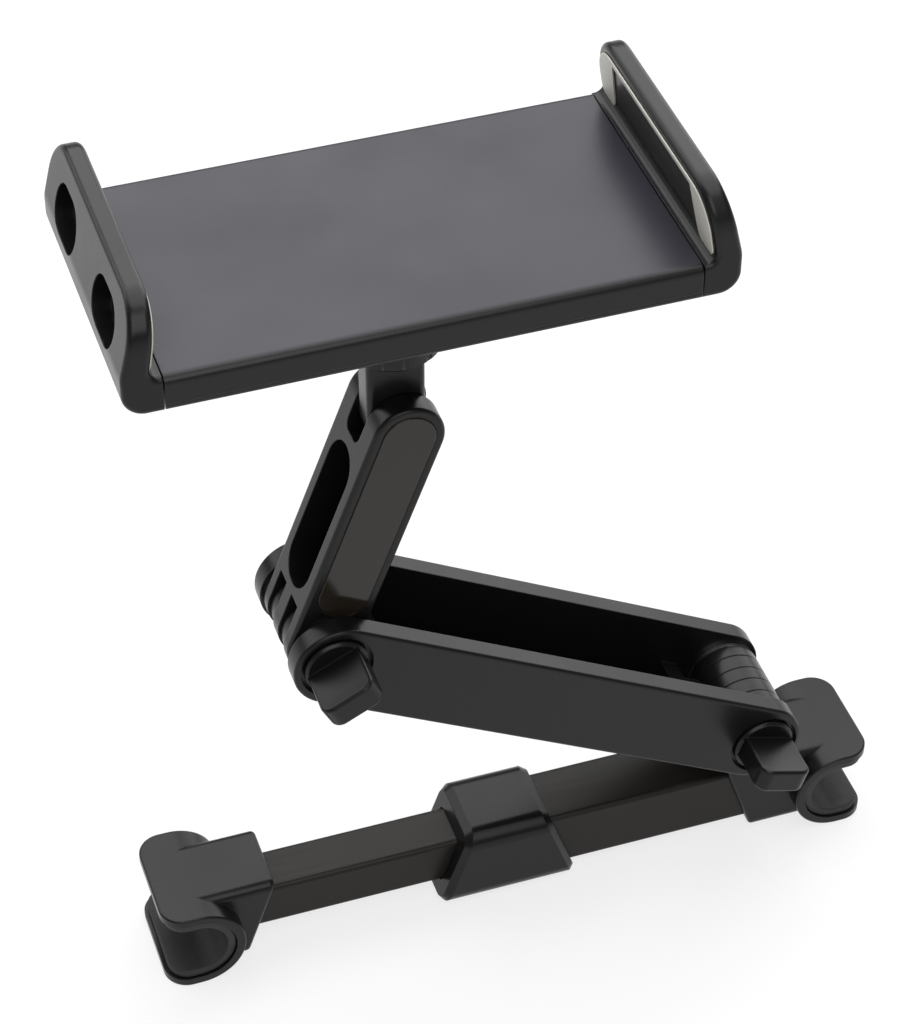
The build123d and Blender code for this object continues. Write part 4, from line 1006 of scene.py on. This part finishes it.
class MOUNT_OT_hardware(bpy.types.Operator):
    """Make the bolts and screws, and finish the washers and the pin"""

    bl_idname = "mount.hardware"
    bl_label = "Hardware"

    def execute(self, context):
        sizes = context.scene.mount_sizes
        material = plated_steel()
        dress(material, "base_washers", "elbow_washers", "tilt_pin")
        self.bolts(sizes, material)
        self.tube_screws(sizes, material)
        self.cover_screws(sizes, material)
        return {"FINISHED"}

    def at_back(self, node):
        """The place of a bolt or screw whose head is at the back of its CAD node."""
        space = space_of(node)
        back = Matrix.Translation((space.middle.x, space.high.y, space.middle.z))
        return back @ Matrix.Rotation(-QUARTER_TURN, 4, "X")

    def bolts(self, sizes, material):
        """Makes the hinge bolts, with a round head, a hexagon socket and a thinner stud."""
        space = space_of("base_bolt")
        radius = (space.high.x - space.low.x) / 2
        head = sizes.bolt_head
        shank = space.high.y - space.low.y - head - sizes.stud_long
        pattern = begin(
            bpy.ops.mesh.primitive_cylinder_add,
            "bolt_pattern",
            vertices=48,
            radius=radius,
            depth=head,
            location=(0.0, 0.0, -head / 2),
        )
        choose(pattern, "EDGE", lambda p: near(p.z, head / 2))
        bpy.ops.mesh.bevel(offset=sizes.bolt_round, segments=6, affect="EDGES")
        choose(pattern, "FACE", lambda p: near(p.z, -head / 2))
        bpy.ops.mesh.inset(thickness=radius - sizes.bolt_shank)
        draw_out(z=-shank)
        bpy.ops.mesh.inset(thickness=sizes.bolt_shank - sizes.bolt_stud)
        draw_out(z=-sizes.stud_long)
        choose(pattern, "EDGE", lambda p: near(p.z, -head / 2 - shank - sizes.stud_long))
        bpy.ops.mesh.bevel(offset=sizes.stud_chamfer, segments=1, affect="EDGES")
        bpy.ops.object.mode_set(mode="OBJECT")
        # The tool is two heads tall, so that it ends at the floor of the socket.
        tool = begin(
            bpy.ops.mesh.primitive_cylinder_add,
            "socket_tool",
            vertices=6,
            radius=sizes.bolt_socket,
            depth=2 * head,
            location=(0.0, 0.0, (1 - RECESS_DEPTH) * head),
        )
        bpy.ops.object.mode_set(mode="OBJECT")
        cut(pattern, tool)
        settle(pattern)
        for name in ("base_bolt", "elbow_bolt"):
            bolt = copy(pattern, name + "_socket", self.at_back(name))
            finish_piece(bolt, material, [name])
            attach(bolt, "lower_arm_set")
        drop(pattern)

    def tube_screws(self, sizes, material):
        """Makes the screws that hold the tubes in the clamps."""
        space = space_of("right_tube_screw")
        radius = (space.high.x - space.low.x) / 2
        long = space.high.y - space.low.y
        pattern = self.screw("tube_pattern", radius, sizes.tube_head, sizes.tube_shank, long)
        for side in ("right", "left"):
            placed = self.at_back(side + "_tube_screw")
            screw = copy(pattern, side + "_tube_screw_cross", placed)
            finish_piece(screw, material, [side + "_tube_screw"])
            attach(screw, side + "_bar")
        drop(pattern)

    def cover_screws(self, sizes, material):
        """Makes the four screws of the cradle's cover, with their heads down."""
        space = space_of("cover_screws")
        low, high = space.low, space.high
        radius = sizes.cover_wide
        long = high.z - low.z
        pattern = self.screw("cover_pattern", radius, sizes.cover_head, sizes.cover_shank, long)
        columns = (low.x + radius, high.x - radius)
        rows = (low.y + radius, high.y - radius)
        places = [(x, y, low.z) for x in columns for y in rows]
        for number, place in enumerate(places, 1):
            placed = Matrix.Translation(place) @ Matrix.Rotation(HALF_TURN, 4, "X")
            screw = copy(pattern, "cover_screw_cross_" + str(number), placed)
            finish_piece(screw, material, ["cover_screws"])
            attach(screw, "cradle")
        drop(pattern)

    def screw(self, name, radius, head, shank, long):
        """A screw with a cross recess, its head's top at the origin."""
        piece = begin(
            bpy.ops.mesh.primitive_cylinder_add,
            name,
            vertices=40,
            radius=radius,
            depth=head,
            location=(0.0, 0.0, -head / 2),
        )
        choose(piece, "EDGE", lambda p: near(p.z, head / 2))
        bpy.ops.mesh.bevel(offset=HEAD_ROUND * head, segments=4, affect="EDGES")
        choose(piece, "FACE", lambda p: near(p.z, -head / 2))
        bpy.ops.mesh.inset(thickness=radius - shank)
        draw_out(z=head - long)
        choose(piece, "EDGE", lambda p: near(p.z, head / 2 - long))
        bpy.ops.mesh.bevel(offset=TIP_CHAMFER * shank, segments=1, affect="EDGES")
        bpy.ops.object.mode_set(mode="OBJECT")
        # The cross stands half above the head, and its lower half is the recess.
        arm = CROSS_WIDTH * radius
        tool = begin(bpy.ops.mesh.primitive_cube_add, "cross_tool", size=arm)
        choose(tool, "FACE", lambda p: near(p.z, 0.0))
        bpy.ops.mesh.extrude_faces_move(TRANSFORM_OT_shrink_fatten={"value": CROSS_ARM * radius})
        bpy.ops.mesh.select_all(action="SELECT")
        bpy.ops.transform.resize(value=(1.0, 1.0, 2 * RECESS_DEPTH * head / arm))
        bpy.ops.object.mode_set(mode="OBJECT")
        cut(piece, tool)
        settle(piece)
        return piece


class MOUNT_OT_stage(bpy.types.Operator):
    """Set up the floor, the lamps and the camera"""

    bl_idname = "mount.stage"
    bl_label = "Stage"

    def execute(self, context):
        settings = context.scene.mount_stage
        target = Vector(settings.target)
        self.floor()
        self.world(context, settings)
        for name, light, offset, wide in PANELS:
            self.panel(name, target, Vector(offset), wide, getattr(settings, light))
        self.camera(context, settings, target)
        return {"FINISHED"}

    def floor(self):
        """Lays the paper just under the mount, so wide that its edge isn't seen."""
        bpy.ops.object.select_all(action="DESELECT")
        bpy.ops.mesh.primitive_plane_add(size=FLOOR_SIZE, location=(0.0, 0.0, -FLOOR_DROP))
        floor = bpy.context.object
        floor.name = "floor"
        floor.data.materials.append(white_paper())

    def world(self, context, settings):
        """Fills the surround with even white light."""
        world = bpy.data.worlds.new("studio")
        world.use_nodes = True
        tree = world.node_tree
        tree.nodes.clear()
        light = {"Color": WHITE, "Strength": settings.world_light}
        surround = add(tree, "ShaderNodeBackground", light)
        add(tree, "ShaderNodeOutputWorld", links={"Surface": surround["Background"]})
        context.scene.world = world

    def panel(self, name, target, offset, wide, watts):
        """Hangs a square panel of light that faces the target."""
        bpy.ops.object.light_add(type="AREA", location=target + offset)
        lamp = bpy.context.object
        lamp.name = name
        lamp.data.size = wide
        lamp.data.energy = watts
        lamp.rotation_euler = (-offset).to_track_quat("-Z", "Y").to_euler()

    def camera(self, context, settings, target):
        """Puts the camera where the photograph was taken from."""
        turn = settings.azimuth
        lift = settings.elevation
        level = math.cos(lift)
        away = Vector((math.sin(turn) * level, -math.cos(turn) * level, math.sin(lift)))
        bpy.ops.object.camera_add(location=target + settings.distance * away)
        camera = bpy.context.object
        camera.name = "photo_camera"
        camera.data.lens = settings.lens
        camera.rotation_euler = Euler((QUARTER_TURN - lift, 0.0, turn))
        context.scene.camera = camera
        context.scene.view_settings.view_transform = "Standard"


OPERATORS = (
    MOUNT_OT_mouldings,
    MOUNT_OT_tubes,
    MOUNT_OT_liners,
    MOUNT_OT_pads,
    MOUNT_OT_springs,
    MOUNT_OT_hardware,
    MOUNT_OT_stage,
)


class MOUNT_PT_sidebar(bpy.types.Panel):
    """Lists the sizes, colours and steps of the mount"""

    bl_idname = "MOUNT_PT_sidebar"
    bl_label = "Headrest tablet mount"
    bl_space_type = "VIEW_3D"
    bl_region_type = "UI"
    bl_category = "Mount"

    def draw(self, context):
        scene = context.scene
        for group in (scene.mount_colours, scene.mount_sizes, scene.mount_stage):
            box = self.layout.box()
            for name in group.__annotations__:
                box.prop(group, name)
        for operator in OPERATORS:
            self.layout.operator(operator.bl_idname)


CLASSES = (MountColours, MountSizes, MountStage, *OPERATORS, MOUNT_PT_sidebar)


def register():
    for cls in CLASSES:
        bpy.utils.register_class(cls)
    bpy.types.Scene.mount_colours = PointerProperty(type=MountColours)
    bpy.types.Scene.mount_sizes = PointerProperty(type=MountSizes)
    bpy.types.Scene.mount_stage = PointerProperty(type=MountStage)


def unregister():
    del bpy.types.Scene.mount_stage
    del bpy.types.Scene.mount_sizes
    del bpy.types.Scene.mount_colours
    for cls in reversed(CLASSES):
        bpy.utils.unregister_class(cls)


def main():
    register()
    bpy.ops.mount.mouldings()
    bpy.ops.mount.tubes()
    bpy.ops.mount.liners()
    bpy.ops.mount.pads()
    bpy.ops.mount.springs()
    bpy.ops.mount.hardware()
    bpy.ops.mount.stage()


if __name__ == "__main__":
    main()
